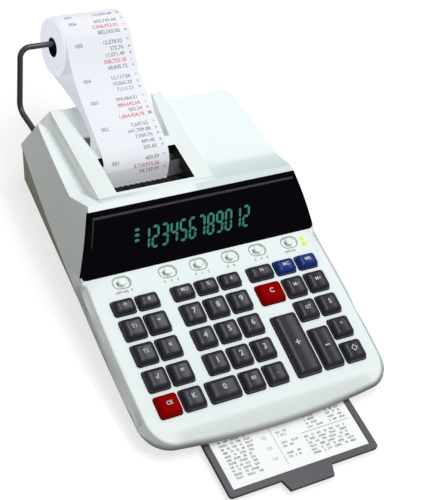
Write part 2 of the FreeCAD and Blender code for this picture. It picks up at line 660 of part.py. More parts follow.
for name, middle, row, width, depth in KEYS:
    body = doc.addObject("PartDesign::Body", name.title().replace("_", ""))
    cap = key_cap(body, name + "_cap", width, depth)
    rounded = body.newObject("PartDesign::Chamfer", name + "_corners")
    rounded.Base = (cap, slanting_edges(cap))
    bind(rounded, Size="key_bevel")
    body_box(body, "Additive", name + "_skirt", width, depth, "key_skirt",
             "-(%s) / 2" % width, "-(%s) / 2" % depth, "-key_skirt")
    body_rod(body, "Subtractive", name + "_dish", "dish_radius", "(%s) + 4" % depth,
             "0", "-(%s) / 2 - 2" % depth, "key_height - dish_depth + dish_radius", ALONG_BACK)
    body_box(body, "Additive", name + "_flange", width, "(%s) + 2 * flange_reach" % depth,
             "flange_thick", "-(%s) / 2" % width, "-(%s) / 2 - flange_reach" % depth,
             "-flange_drop - flange_thick")
    body_box(body, "Additive", name + "_stem", "stem_size", "stem_size",
             "stem_length + key_skirt - 1", "-stem_size / 2", "-stem_size / 2",
             "-key_skirt - stem_length")
    body.Placement = key_places[name]
    keep(body, name)

# Selector knobs
for number, across in enumerate(KNOBS, start=1):
    name = "selector_knob_%d" % number
    body = doc.addObject("PartDesign::Body", "SelectorKnob%d" % number)
    head = body_rod(body, "Additive", name + "_head", "knob_radius", "knob_height + knob_recess - 0.15",
                    "0", "0", "0.15 - knob_recess")
    body_box(body, "Additive", name + "_stem", "knob_stem", "knob_stem",
             "deck_thick + knob_play + 0.15", "-knob_stem / 2", "-knob_stem / 2",
             "-deck_thick - knob_play")
    body_box(body, "Additive", name + "_plate", "knob_plate_width", "knob_plate_width", "knob_plate",
             "-knob_plate_width / 2", "-knob_plate_width / 2", "-deck_thick - knob_play - knob_plate")
    body.Placement = on_deck(across, size("knob_row"))
    keep(body, name)

# Circuit board
board = doc.addObject("PartDesign::Body", "CircuitBoard")
plan = rounded_rectangle(new_sketch(board, "board_plan"), "board_right - board_left",
                         "board_rear - board_front", "board_corner")
pad(board, "board_sheet", plan, "board_thick", down=True)
for number, (across, along) in enumerate(BOARD_POSTS, start=1):
    body_rod(board, "Subtractive", "board_hole_%d" % number, "board_post_radius / 2.6",
             "board_thick * 3", "%.3f - (board_left + board_right) / 2" % across,
             "%.3f - (board_front + board_rear) / 2" % along, "-board_thick * 2")
board.Placement = on_deck((size("board_left") + size("board_right")) / 2,
                          (size("board_front") + size("board_rear")) / 2, -size("board_drop"))
keep(board, "circuit_board")

# Display tube
tube = doc.addObject("PartDesign::Body", "DisplayTube")
plan = rounded_rectangle(new_sketch(tube, "tube_plan"), "tube_width", "tube_tall", "board_corner")
pad(tube, "tube_glass", plan, "tube_thick", down=True)
tube.Placement = tube_place
keep(tube, "display_tube")

# Printer frame: two side plates joined by a rear bar and a foot
frame = doc.addObject("PartDesign::Body", "PrinterFrame")
deep = "plate_rear_y - plate_front_y"
for side, start in (("left", "plate_left"), ("right", "plate_right - plate_thick")):
    body_box(frame, "Additive", "frame_%s" % side, "plate_thick", deep, "plate_top - floor_top",
             start, "plate_front_y", "floor_top")
body_box(frame, "Additive", "frame_foot", "plate_right - plate_left", deep, "plate_thick",
         "plate_left", "plate_front_y", "floor_top")
body_box(frame, "Additive", "frame_bar", "plate_right - plate_left", "plate_thick", "9",
         "plate_left", "plate_rear_y - plate_thick", "plate_top - 30")
ink_y = "(drum_y - cos(ink_angle) * (drum_radius + ink_radius + roller_contact))"
ink_z = "(drum_z + sin(ink_angle) * (drum_radius + ink_radius + roller_contact))"
AXLES = [("drum", "drum_y", "drum_z"), ("ink", ink_y, ink_z), ("feed", "feed_y", "feed_z")]
for name, y, z in AXLES:
    body_rod(frame, "Subtractive", "frame_%s_bearing" % name, "shaft_radius + shaft_play",
             "plate_right - plate_left + 4", "plate_left - 2", y, z, ALONG_X)
keep(frame, "printer_frame")

# Drum, inking roller and feed roller, each with its shaft
span = "(plate_right - plate_left - 2 * plate_thick - 2 * end_play)"
for node, name, y, z, radius in (("print_drum", "drum", "drum_y", "drum_z", "drum_radius"),
                                 ("ink_roller", "ink", ink_y, ink_z, "ink_radius"),
                                 ("feed_roller", "feed", "feed_y", "feed_z", "feed_radius")):
    body = doc.addObject("PartDesign::Body", node.title().replace("_", ""))
    margin = "6" if name == "drum" else "3"
    inset = "plate_left + plate_thick + end_play + " + margin
    body_rod(body, "Additive", name + "_barrel", radius, "%s - 2 * %s" % (span, margin),
             inset, y, z, ALONG_X)
    if name == "drum":
        ring = new_sketch(body, "drum_groove", "XY_Plane", "drum_z")
        low, high = value(inset) + 4.0, value(inset) + 4.0 + size("wheel_gap")
        edge, deepest = value(y) + value(radius) + 1, value(y) + value(radius) - size("wheel_groove")
        corners = [(low, deepest), (high, deepest), (high, edge), (low, edge)]
        for start, end in zip(corners, corners[1:] + corners[:1]):
            ring.addGeometry(Part.LineSegment(Vector(*start, 0), Vector(*end, 0)), False)
        rules = [Sketcher.Constraint("Coincident", i, 2, (i + 1) % 4, 1) for i in range(4)]
        rules += [Sketcher.Constraint("Horizontal", 0), Sketcher.Constraint("Vertical", 1),
                  Sketcher.Constraint("Horizontal", 2), Sketcher.Constraint("Vertical", 3),
                  Sketcher.Constraint("DistanceX", 0, 1, 0, 2, high - low),
                  Sketcher.Constraint("DistanceY", 1, 1, 1, 2, edge - deepest),
                  Sketcher.Constraint("DistanceX", -1, 1, 0, 1, low),
                  Sketcher.Constraint("DistanceY", -1, 1, 0, 1, deepest)]
        ring.addConstraint(rules)
        for index, rule, formula in ((8, "gap", "wheel_gap"), (9, "cut", "wheel_groove + 1"),
                                     (10, "start", inset + " + wheel_pitch - wheel_gap / 2"),
                                     (11, "bottom", "drum_y + drum_radius - wheel_groove")):
            ring.renameConstraint(index, rule)
            bind(ring, **{"Constraints__" + rule: formula})
        axis = body.newObject("PartDesign::Line", "drum_axis")
        axis.Placement = Placement(Vector(), ALONG_X)
        bind(axis, Placement__Base__y=y, Placement__Base__z=z)
        groove = body.newObject("PartDesign::Groove", "drum_ring")
        groove.Profile = ring
        groove.ReferenceAxis = (axis, [""])
        groove.Angle = 360
        pattern = body.newObject("PartDesign::LinearPattern", "drum_rings")
        pattern.Originals = [groove]
        pattern.Direction = (axis, [""])
        bind(pattern, Length="(wheels - 1) * wheel_pitch", Occurrences="wheels")
        body.Tip = pattern
        ring.Visibility = False
    body_rod(body, "Additive", name + "_shaft", "shaft_radius", "plate_right - plate_left + 3",
             "plate_left - 1.5", y, z, ALONG_X)
    keep(body, node)

# Clear tear-off bar with a toothed edge, leaning back with the tape
bar = doc.addObject("PartDesign::Body", "TearBar")
wide = "(plate_right - plate_left - 2 * plate_thick)"
body_box(bar, "Additive", "tear_foot", wide, "tear_thick", "tear_shoulder",
         "plate_left + plate_thick", "0", "0")
body_box(bar, "Additive", "tear_plate", "mouth_right - mouth_left - 0.5", "tear_thick", "tear_tall",
         "mouth_left + 0.25", "0", "0")
teeth = new_sketch(bar, "tear_tooth", "XZ_Plane")
half_tooth = size("tooth_pitch") / 2
start = size("mouth_left") + 0.25
tall = size("tear_tall")
corners = [(start, tall - size("tooth_tall")), (start + half_tooth, tall + 0.3),
           (start - half_tooth, tall + 0.3)]
for one, other in zip(corners, corners[1:] + corners[:1]):
    teeth.addGeometry(Part.LineSegment(Vector(*one, 0), Vector(*other, 0)), False)
rules = [Sketcher.Constraint("Coincident", i, 2, (i + 1) % 3, 1) for i in range(3)]
rules += [Sketcher.Constraint("Horizontal", 1), Sketcher.Constraint("Equal", 0, 2),
          Sketcher.Constraint("DistanceX", 1, 2, 1, 1, 2 * half_tooth),
          Sketcher.Constraint("DistanceX", -1, 1, 0, 1, start),
          Sketcher.Constraint("DistanceY", -1, 1, 0, 1, tall - size("tooth_tall")),
          Sketcher.Constraint("DistanceY", -1, 1, 1, 1, tall + 0.3)]
teeth.addConstraint(rules)
for index, rule, formula in ((5, "pitch", "tooth_pitch"), (6, "start", "mouth_left + 0.25"),
                             (7, "root", "tear_tall - tooth_tall"), (8, "over", "tear_tall + 0.3")):
    teeth.renameConstraint(index, rule)
    bind(teeth, **{"Constraints__" + rule: formula})
notch_cut = bar.newObject("PartDesign::Pocket", "tear_notch")
notch_cut.Profile = teeth
notch_cut.Type = 1
notch_cut.Midplane = True
teeth.Visibility = False
pattern = bar.newObject("PartDesign::LinearPattern", "tear_teeth")
pattern.Originals = [notch_cut]
pattern.Direction = (teeth, ["H_Axis"])
tooth_count = int((size("mouth_right") - size("mouth_left")) / size("tooth_pitch")) + 1
pattern.Length = (tooth_count - 1) * size("tooth_pitch")
pattern.Occurrences = tooth_count
bar.Tip = pattern
bar.Placement = Placement(Vector(0, size("tear_foot_y"), size("tear_foot_z")),
                          Rotation(Vector(1, 0, 0), -size("tear_lean")))
keep(bar, "tear_bar")

# Paper roll on its core
roll = doc.addObject("Part::Cut", "PaperRoll")
outside = bind(doc.addObject("Part::Cylinder", "RollOutside"), Radius="roll_radius",
               Height="paper_width")
bore = bind(doc.addObject("Part::Cylinder", "RollBore"), Radius="core_radius",
            Height="paper_width + 4", Placement__Base__z="-2")
roll.Base = outside
roll.Tool = bore
roll.Placement = Placement(Vector(size("roll_left"), size("roll_y"), size("roll_z")), ALONG_X)
keep(roll, "paper_roll")

# Paper tape: from under the roll into the printer, round the feed roller, up past the
# tear bar, forward over the bridge and back over the top of the roll
def bent_path(points, radii):
    """A chain of straight runs with an arc at every inner point."""
    edges = []
    start = points[0]
    for before, corner, after, radius in zip(points, points[1:], points[2:], radii):
        one, other = (before - corner).normalize(), (after - corner).normalize()
        half = one.getAngle(other) / 2
        middle_way = (one + other).normalize()
        entry, leave = (corner + one * (radius / math.tan(half)),
                        corner + other * (radius / math.tan(half)))
        centre = corner + middle_way * (radius / math.sin(half))
        if (entry - start).Length > 0.001:
            edges.append(Part.makeLine(start, entry))
        edges.append(Part.Arc(entry, centre - middle_way * radius, leave).toShape())
        start = leave
    edges.append(Part.makeLine(start, points[-1]))
    return Part.Wire(edges)


def ring_point(middle, radius, degrees):
    turn = math.radians(degrees)
    return Vector(0, middle[0] + radius * math.cos(turn), middle[1] + radius * math.sin(turn))


def touch_angle(middle, radius, point, side):
    """Where a straight run from a point touches a round body, as an angle in degrees."""
    across, up = point[0] - middle[0], point[1] - middle[1]
    opening = math.acos(radius / math.hypot(across, up))
    return math.degrees(math.atan2(up, across) + side * opening)


def wrap_corners(middle, radius, first, last, parts):
    """Corners whose arcs follow a round body from one angle to another."""
    step = (last - first) / parts
    distance = radius / math.cos(math.radians(step / 2))
    return [(ring_point(middle, distance, first + step * (index + 0.5)), radius)
            for index in range(parts)]


def soften(corners):
    """Gives every free corner the largest arc that its two runs leave room for."""
    places = [place for place, radius in corners]
    turns, fixed = [], []
    for index in range(1, len(places) - 1):
        one = places[index] - places[index - 1]
        turns.append(one.getAngle(places[index + 1] - places[index]))
        radius = corners[index][1]
        fixed.append(radius * math.tan(turns[-1] / 2) if radius else None)
    fixed = [0.0] + fixed + [0.0]
    radii = []
    for index in range(1, len(places) - 1):
        if corners[index][1]:
            radii.append(corners[index][1])
            continue
        room = []
        for other in (index - 1, index + 1):
            run_length = (places[other] - places[index]).Length
            room.append(run_length - fixed[other] if fixed[other] is not None else run_length / 2)
        radii.append(0.98 * min(room) / math.tan(turns[index - 1] / 2))
    return bent_path(places, radii)


roll_middle = (size("roll_y"), size("roll_z"))
feed_middle = (size("feed_y"), size("feed_z"))
reach = size("roll_radius") + size("paper_gap") + size("paper_thick") / 2
wrap = size("feed_radius") + size("paper_gap") + size("paper_thick") / 2
TAPE_IN = [(232.0, 75.4), (212.0, 79.2), (188.0, 80.8), (174.5, 78.4), (167.3, 72.6), (164.2, 62.0)]
TAPE_OUT = [(136.6, 57.0), (139.4, 66.0), (143.2, 73.4), (152.0, 77.8), (170.0, 83.2),
            (190.0, 88.6), (206.0, 94.2), (219.0, 101.4)]
under = touch_angle(roll_middle, reach, TAPE_IN[0], 1)
low_in = touch_angle(feed_middle, wrap, TAPE_IN[-1], -1)
low_out = touch_angle(feed_middle, wrap, TAPE_OUT[0], 1) - 360
over = touch_angle(roll_middle, reach, TAPE_OUT[-1], -1)
print("tape touches at", round(under), round(low_in), round(low_out), round(over))
corners = [(ring_point(roll_middle, reach, -84), None)]
corners += wrap_corners(roll_middle, reach, -84, (under + 180) % 360 - 180, 1)
corners += [(Vector(0, *point), None) for point in TAPE_IN]
corners += wrap_corners(feed_middle, wrap, low_in, low_out, 2)
corners += [(Vector(0, *point), None) for point in TAPE_OUT]
corners += wrap_corners(roll_middle, reach, over % 360, 60, 2)
finish = ring_point(roll_middle, reach, 60)
corners += [(finish + (finish - corners[-1][0]).normalize() * 4, None)]
tape_line = soften(corners)
first_edge = tape_line.Edges[0]
heading = first_edge.tangentAt(first_edge.FirstParameter)
sideways = Vector(0, -heading.z, heading.y) * (size("paper_thick") / 2)
edge_point = first_edge.valueAt(first_edge.FirstParameter)
across_tape = Vector(size("paper_width"), 0, 0)
section = Part.makePolygon([edge_point + sideways, edge_point + sideways + across_tape,
                            edge_point - sideways + across_tape, edge_point - sideways,
                            edge_point + sideways])
tape_shape = tape_line.makePipeShell([section], True, True)
tape_shape.translate(Vector(size("paper_left"), 0, 0))
print("tape", tape_shape.ShapeType, tape_shape.isValid(), round(tape_shape.Volume),
      round(tape_line.Length * size("paper_width") * size("paper_thick")))
paper_tape = solid_piece("paper_tape", tape_shape)

# Wire arm: a bent rod from the bearing lugs, out of the case and through the core
axle_z = size("roll_z") + size("core_radius") - size("wire_radius") - size("paper_gap")
arm_points = [Vector(size("pivot_leg_x"), size("pivot_y"), size("pivot_z")),
              Vector(size("arm_root_x"), size("pivot_y"), size("pivot_z")),
              Vector(size("arm_x"), size("arm_knee_y"), size("arm_knee_z")),
              Vector(size("arm_x"), size("roll_y"), axle_z),
              Vector(size("arm_tip_x"), size("roll_y"), axle_z)]
bends = [5.0, size("arm_bend") + 2, size("arm_bend")]
arm_path = bent_path(arm_points, bends)
ring = Part.Wire(Part.makeCircle(size("wire_radius"), arm_points[0], arm_points[1] - arm_points[0]))
arm_shape = arm_path.makePipeShell([ring], True, False)
roll_arm = solid_piece("roll_arm", arm_shape)

# Slide-out tray with a handle tab and a recess for its card
tray = doc.addObject("PartDesign::Body", "ReferenceTray")
plan = rounded_rectangle(new_sketch(tray, "tray_plan"), "2 * tray_half_width", "tray_length",
                         "tray_corner")
pad(tray, "tray_plate", plan, "tray_thick")
tab = new_sketch(tray, "tab_plan")
back = -size("tray_length") / 2
tab_points = [(-size("tab_half_width"), back + 5), (-size("tab_half_width"), back),
              (-size("tab_half_width") + size("tab_taper"), back - size("tab_reach")),
              (size("tab_half_width") - size("tab_taper"), back - size("tab_reach")),
              (size("tab_half_width"), back), (size("tab_half_width"), back + 5)]
for one, other in zip(tab_points, tab_points[1:] + tab_points[:1]):
    tab.addGeometry(Part.LineSegment(Vector(*one, 0), Vector(*other, 0)), False)
rules = [Sketcher.Constraint("Coincident", i, 2, (i + 1) % 6, 1) for i in range(6)]
rules += [Sketcher.Constraint("Vertical", 0),
          Sketcher.Constraint("Symmetric", 0, 1, 4, 2, -2),
          Sketcher.Constraint("Symmetric", 1, 2, 2, 2, -2),
          Sketcher.Constraint("Symmetric", 0, 2, 3, 2, -2),
          Sketcher.Constraint("DistanceX", 0, 1, 4, 2, 2 * size("tab_half_width")),
          Sketcher.Constraint("DistanceX", 2, 1, 2, 2,
                              2 * (size("tab_half_width") - size("tab_taper"))),
          Sketcher.Constraint("DistanceY", 1, 2, 0, 2, size("tab_reach")),
          Sketcher.Constraint("DistanceY", 0, 2, -1, 1, -back),
          Sketcher.Constraint("DistanceY", 0, 2, 0, 1, 5.0)]
tab.addConstraint(rules)
for index, rule, formula in ((10, "tab_root", "2 * tab_half_width"),
                             (11, "tab_tip", "2 * (tab_half_width - tab_taper)"),
                             (12, "tab_out", "tab_reach"), (13, "tab_back", "tray_length / 2")):
    tab.renameConstraint(index, rule)
    bind(tab, **{"Constraints__" + rule: formula})
pad(tray, "tray_tab", tab, "tray_thick")
body_box(tray, "Subtractive", "tray_recess", "2 * (tray_half_width - tray_rim)",
         "tray_length - 2 * tray_rim", "tray_recess + 1", "tray_rim - tray_half_width",
         "tray_rim - tray_length / 2", "tray_thick - tray_recess")
tray.Placement = Placement(Vector(0, size("tray_front_y") + size("tray_length") / 2,
                                  size("tray_low")), Rotation())
keep(tray, "reference_tray")
card = bind(doc.addObject("Part::Box", "ReferenceCard"),
            Length="2 * (tray_half_width - tray_rim - card_play)",
            Width="tray_length - 2 * tray_rim - 2 * card_play", Height="card_thick")
card.Placement = Placement(
    Vector(size("tray_rim") + size("card_play") - size("tray_half_width"),
           size("tray_front_y") + size("tray_rim") + size("card_play"),
           size("tray_low") + size("tray_thick") - size("tray_recess")), Rotation())
keep(card, "reference_card")

# Four identical feet
foot_parts = []
for number, (x, y) in enumerate(FEET, start=1):
    foot = bind(doc.addObject("Part::Cylinder", "Foot%d" % number), Radius="foot_radius",
                Height="base_height + foot_recess")
    foot.Placement = Placement(Vector(x, y, 0), Rotation())
    foot_parts.append(foot)
feet = doc.addObject("Part::Compound", "Feet")
feet.Links = foot_parts
keep(feet, "feet")

doc.recompute()

# Move every piece onto the model's origin, look it over and write it out
os.makedirs("parts", exist_ok=True)
shift = Placement(Vector(0, -FOOTPRINT_MIDDLE, 0), Rotation())
for piece in pieces:
    piece.Placement = shift.multiply(piece.Placement)
doc.recompute()
for thing in doc.Objects:
    assert "Invalid" not in thing.State and "Error" not in thing.State, thing.Name
for piece in pieces:
    shape = piece.Shape
    assert not shape.isNull() and shape.isValid(), piece.Label
    print(piece.Label, len(shape.Solids), round(shape.Volume))
    shape.exportStep("parts/%s.step" % piece.Label)
print(len(pieces), "pieces; origin moved along Y by", FOOTPRINT_MIDDLE)
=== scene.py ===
# %% [markdown]
# # A desk printing calculator
# The measured solids of the machine come in first and stay where they are. Everything
# after that is finish: rounded key caps, lettering, paper, light. Each step says what the
# real piece is like, how it could be made, and why it is made this way.

# %% Load the measured machine
import bmesh
import bpy
import math
import random
from mathutils import Matrix, Vector
from mathutils.bvhtree import BVHTree


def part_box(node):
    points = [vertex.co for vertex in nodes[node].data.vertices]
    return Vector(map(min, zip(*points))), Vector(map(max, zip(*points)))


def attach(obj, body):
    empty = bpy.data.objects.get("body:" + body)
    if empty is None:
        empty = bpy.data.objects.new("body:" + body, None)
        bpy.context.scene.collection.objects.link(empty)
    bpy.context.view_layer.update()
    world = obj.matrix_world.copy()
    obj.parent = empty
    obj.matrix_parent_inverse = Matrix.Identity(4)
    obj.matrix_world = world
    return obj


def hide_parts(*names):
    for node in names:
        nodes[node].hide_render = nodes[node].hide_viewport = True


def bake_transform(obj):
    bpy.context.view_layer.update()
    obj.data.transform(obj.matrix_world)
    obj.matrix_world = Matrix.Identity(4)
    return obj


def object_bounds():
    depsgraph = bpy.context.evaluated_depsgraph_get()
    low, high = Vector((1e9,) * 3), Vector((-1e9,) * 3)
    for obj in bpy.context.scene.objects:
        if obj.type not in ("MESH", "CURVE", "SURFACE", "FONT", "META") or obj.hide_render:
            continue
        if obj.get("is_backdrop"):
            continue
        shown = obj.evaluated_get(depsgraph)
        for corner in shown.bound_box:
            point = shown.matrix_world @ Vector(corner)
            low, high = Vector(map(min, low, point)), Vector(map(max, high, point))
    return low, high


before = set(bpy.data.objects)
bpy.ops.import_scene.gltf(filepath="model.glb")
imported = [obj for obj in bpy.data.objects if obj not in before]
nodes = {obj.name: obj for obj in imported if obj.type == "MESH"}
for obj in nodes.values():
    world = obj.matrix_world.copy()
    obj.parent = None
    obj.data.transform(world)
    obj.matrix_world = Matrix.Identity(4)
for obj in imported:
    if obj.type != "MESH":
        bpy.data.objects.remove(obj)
solid_box = [list(corner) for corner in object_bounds()]
print("solids", len(nodes), "box", [[round(v, 4) for v in corner] for corner in solid_box])

# %% [markdown]
# Sizes below are in millimetres from a datum on the desk: across from the middle of the
# case, back from the middle row of keys, up from the desk top. One function turns them
# into metres in the machine's own frame, and another follows the sloping key deck, so
# that no later step has to think about either.

# %% Places
MM = 0.001
MIDDLE_BACK = 73.95
DECK_HEIGHT = 24.9
DECK_TILT = math.radians(8.1)


def at(across, back, up):
    return Vector((across, back - MIDDLE_BACK, up)) * MM


def on_deck(across, along, above=0.0):
    """A point of the key deck, measured along its slope."""
    return at(across,
              along * math.cos(DECK_TILT) - above * math.sin(DECK_TILT),
              DECK_HEIGHT + along * math.sin(DECK_TILT) + above * math.cos(DECK_TILT))


print("deck middle", [round(v, 4) for v in on_deck(0, 0)])

# %% [markdown]
# A piece is a mesh whose points are already in place, so its object sits at the origin.
# Shading is smooth except across sharp edges, as on moulded plastic.

# %% Making a piece
def in_scene(name, data):
    made = bpy.data.objects.new(name, data)
    bpy.context.scene.collection.objects.link(made)
    return made


def piece(name, mesh, body, materials, slot=None, sharp=35.0):
    """Puts a mesh in the scene as one piece that moves with a body."""
    for material in materials:
        mesh.materials.append(material)
    mesh.polygons.foreach_set("use_smooth", [True] * len(mesh.polygons))
    mesh.set_sharp_from_angle(angle=math.radians(sharp))
    made = in_scene(name, mesh)
    if body:
        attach(made, body)
    return made


def mesh_of(name, points, faces, marks=None):
    mesh = bpy.data.meshes.new(name)
    mesh.from_pydata([tuple(point) for point in points], [], faces)
    if marks:
        mesh.polygons.foreach_set("material_index", marks)
    mesh.validate()
    return mesh


def mesh_from(shape, name):
    """Turns a finished bmesh into a mesh."""
    mesh = bpy.data.meshes.new(name)
    shape.to_mesh(mesh)
    shape.free()
    return mesh


def outward(mesh):
    """Turns the faces of closed shells to point out of them."""
    shape = bmesh.new()
    shape.from_mesh(mesh)
    bmesh.ops.recalc_face_normals(shape, faces=shape.faces)
    shape.to_mesh(mesh)
    shape.free()
    return mesh


def as_mesh(holder):
    """The plain mesh that a curve or a modifier comes to; the object that held it goes."""
    ready = holder.evaluated_get(bpy.context.evaluated_depsgraph_get())
    mesh = bpy.data.meshes.new_from_object(ready)
    holder.modifiers.clear()
    bpy.data.objects.remove(holder)
    return mesh


print("pieces go into the", bpy.context.scene.collection.name)

# %% [markdown]
# ## Finishes
# Colours are given as they look on a screen and turned into light values once. Every
# finish is a small set of nodes; what several finishes share, such as the fine sparked
# grain of a mould or a film of dust, is a group with named inputs.

# %% Colours and node helpers
def tint(red, green, blue):
    def linear(level):
        level /= 255
        return level / 12.92 if level <= 0.04045 else ((level + 0.055) / 1.055) ** 2.4
    return (linear(red), linear(green), linear(blue), 1.0)


def feed(tree, node, inputs):
    """Gives a node its inputs by name or number: each is a plain value, the output of
    another node, or a whole node, which stands for its first output."""
    for name, source in inputs.items():
        if isinstance(source, bpy.types.Node):
            source = source.outputs[0]
        if isinstance(source, bpy.types.NodeSocket):
            tree.links.new(source, node.inputs[name])
        else:
            node.inputs[name].default_value = source
    return node


def add(tree, kind, inputs=None, **settings):
    """A new node with its inputs. Settings are its options, or inputs with plain values."""
    made = tree.nodes.new(kind)
    for name, value in settings.items():
        if hasattr(made, name):
            setattr(made, name, value)
        else:
            made.inputs[name.replace("_", " ")].default_value = value
    return feed(tree, made, inputs or {})


def new_tree(kind, name, inputs, outputs):
    """An empty node group. Inputs are names with a first value, or a kind of socket;
    outputs are names with a kind."""
    tree = bpy.data.node_groups.new(name, kind)
    for label, value in inputs.items():
        bare = isinstance(value, str)
        socket_kind = value if bare else "Float" if isinstance(value, float) else "Color"
        socket = tree.interface.new_socket(name=label, in_out="INPUT",
                                           socket_type="NodeSocket" + socket_kind)
        if not bare:
            socket.default_value = value
    for label, socket_kind in outputs.items():
        tree.interface.new_socket(name=label, in_out="OUTPUT",
                                  socket_type="NodeSocket" + socket_kind)
    return tree, tree.nodes.new("NodeGroupInput").outputs, tree.nodes.new("NodeGroupOutput")


print("housing white is", [round(v, 3) for v in tint(237, 243, 245)])

# %% [markdown]
# A few nodes turn up in nearly every finish. Each gets a short function, so that a
# finish below reads as a list of what it is made of and not as wiring.

# %% Often used nodes
def object_place(tree):
    """Where a point of the surface is, in metres in the machine's own frame."""
    return add(tree, "ShaderNodeTexCoord").outputs["Object"]


def parts_of(tree, direction):
    return add(tree, "ShaderNodeSeparateXYZ", {0: direction}).outputs


def reckon(tree, operation, *values, **settings):
    return add(tree, "ShaderNodeMath", dict(enumerate(values)), operation=operation, **settings)


def reckon_vector(tree, operation, *values):
    return add(tree, "ShaderNodeVectorMath", dict(enumerate(values)), operation=operation)


def mixed(tree, share, one, other, **settings):
    """Colour one, turning into the other as the share goes from 0 to 1."""
    return add(tree, "ShaderNodeMix", {0: share, 6: one, 7: other}, data_type="RGBA",
               **settings).outputs[2]


def dimmed(tree, colour, level):
    return add(tree, "ShaderNodeVectorMath", {0: colour, "Scale": level}, operation="SCALE")


def noise(tree, place, **settings):
    return add(tree, "ShaderNodeTexNoise", {"Vector": place}, **settings)


def spread(tree, source, **limits):
    """A straight step from To Min to To Max while the source runs from 0 to 1."""
    return add(tree, "ShaderNodeMapRange", {"Value": source}, **limits)


def ramp(tree, source, start, end, low=0.0, high=1.0):
    """A smooth step from low to high while the source runs from start to end."""
    return add(tree, "ShaderNodeMapRange",
               {"Value": source, "From Min": start, "From Max": end, "To Min": low,
                "To Max": high}, interpolation_type="SMOOTHSTEP")


def two_tones(tree, source, low, high, start=0.0, end=1.0):
    """A colour ramp with two stops."""
    tones = add(tree, "ShaderNodeValToRGB", {"Fac": source})
    for stop, colour, position in zip(tones.color_ramp.elements, (low, high), (start, end)):
        stop.color, stop.position = colour, position
    return tones


def place_group(tree, group, inputs):
    made = tree.nodes.new("ShaderNodeGroup")
    made.node_tree = group
    return feed(tree, made, inputs)


print("Blender", bpy.app.version_string, "has the nodes these functions place")

# %% [markdown]
# Moulded plastic is never one flat colour. It has a fine pebbled grain cut into the
# mould, a slow drift of tone over a hand's width, and edges that are rounded by a few
# tenths of a millimetre and catch the light. The group gives all three.

# %% Moulded grain
def make_moulded_grain():
    tree, given, out = new_tree(
        "ShaderNodeTree", "moulded_grain",
        {"Colour": (0.8, 0.8, 0.8, 1), "Grain per Metre": 2600.0, "Grain Depth": 0.00002,
         "Drift": 0.04, "Edge Radius": 0.0004, "Polish": 0.4},
        {"Colour": "Color", "Roughness": "Float", "Normal": "Vector"})
    place = object_place(tree)
    pebble = noise(tree, place, Detail=3.0, Roughness=0.6)
    feed(tree, pebble, {"Scale": given["Grain per Metre"]})
    round_edge = add(tree, "ShaderNodeBevel", {"Radius": given["Edge Radius"]}, samples=6)
    bump = add(tree, "ShaderNodeBump", {"Height": pebble, "Distance": given["Grain Depth"],
                                        "Normal": round_edge}, Strength=0.6)
    drift = noise(tree, place, Scale=14.0, Detail=4.0)
    level = add(tree, "ShaderNodeMapRange",
                {"Value": drift, "To Min": reckon(tree, "SUBTRACT", 1.0, given["Drift"])})
    gloss_change = 0.16
    feed(tree, out, {"Colour": dimmed(tree, given["Colour"], level), "Normal": bump,
                     "Roughness": reckon(tree, "MULTIPLY_ADD", pebble, gloss_change,
                                         given["Polish"])})
    return tree


moulded_grain = make_moulded_grain()
print("group", moulded_grain.name, len(moulded_grain.nodes), "nodes")

# %% [markdown]
# A machine on a desk gathers a little dust where a surface looks up. The mask is the
# upward part of the surface's own direction, broken up by noise, and shows mostly on
# the dark pieces.

# %% Dust
DUST_COLOUR = tint(205, 200, 190)


def make_dust():
    tree, given, out = new_tree(
        "ShaderNodeTree", "desk_dust",
        {"Colour": (0.1, 0.1, 0.1, 1), "Roughness": 0.3, "Amount": 0.1},
        {"Colour": "Color", "Roughness": "Float"})
    facing = parts_of(tree, add(tree, "ShaderNodeNewGeometry").outputs["Normal"])
    specks = noise(tree, object_place(tree), Scale=420.0, Detail=6.0, Roughness=0.72)
    patch = spread(tree, specks, From_Min=0.42, From_Max=0.74)
    up = reckon(tree, "MULTIPLY", facing["Z"], patch, use_clamp=True)
    share = reckon(tree, "MULTIPLY", up, given["Amount"], use_clamp=True)
    feed(tree, out, {"Colour": mixed(tree, share, given["Colour"], DUST_COLOUR),
                     "Roughness": reckon(tree, "ADD", given["Roughness"], share,
                                         use_clamp=True)})
    return tree


desk_dust = make_dust()
print("group", desk_dust.name, len(desk_dust.nodes), "nodes")

# %% [markdown]
# The two halves of the case meet at a sloping line. The upper half ends in a step there, and the
# wall just above lies in the shade of the joint, which is painted into its colour: 1 mm of it
# along the sides, nearly the whole lip at the front. The leaning side walls of the deck get
# painted shade as well, and so do the slopes before the right panel. The group measures how far a
# point is above the joint, how far below the deck, how far out and how steep it is lengthwise, and
# multiplies the colour by these painted shades.

# %% Shades of the case
JOINT_HEIGHT = 17.6
JOINT_TILT = math.radians(6.6)
FRONT_TURN = (-64, -50)  # the places below are in millimetres from front to back
RAISED_START = (66, 73)
SLOPE_FRONT, SLOPE_REAR = (73, 80), (140, 132)
# how far the painted shade reaches over the joint, and where it starts on the side walls
JOINT_REACH = {"front": 0.0082, "side": 0.0010}
WALL_EDGE = {"front": 0.082, "side": 0.0925, "outer": 0.0945}


def height_over(tree, place, point, tilt):
    """Height of a point of the surface over a plane that slopes from front to back."""
    offset = reckon_vector(tree, "SUBTRACT", place, point)
    square_up = (0, -math.sin(tilt), math.cos(tilt))
    return reckon_vector(tree, "DOT_PRODUCT", offset, square_up).outputs["Value"]


def shaded(tree, colour, shade, *masks):
    """The colour times the shade where every mask is one."""
    share = masks[0]
    for mask in masks[1:]:
        share = reckon(tree, "MULTIPLY", share, mask)
    return mixed(tree, share, colour, shade, blend_type="MULTIPLY")


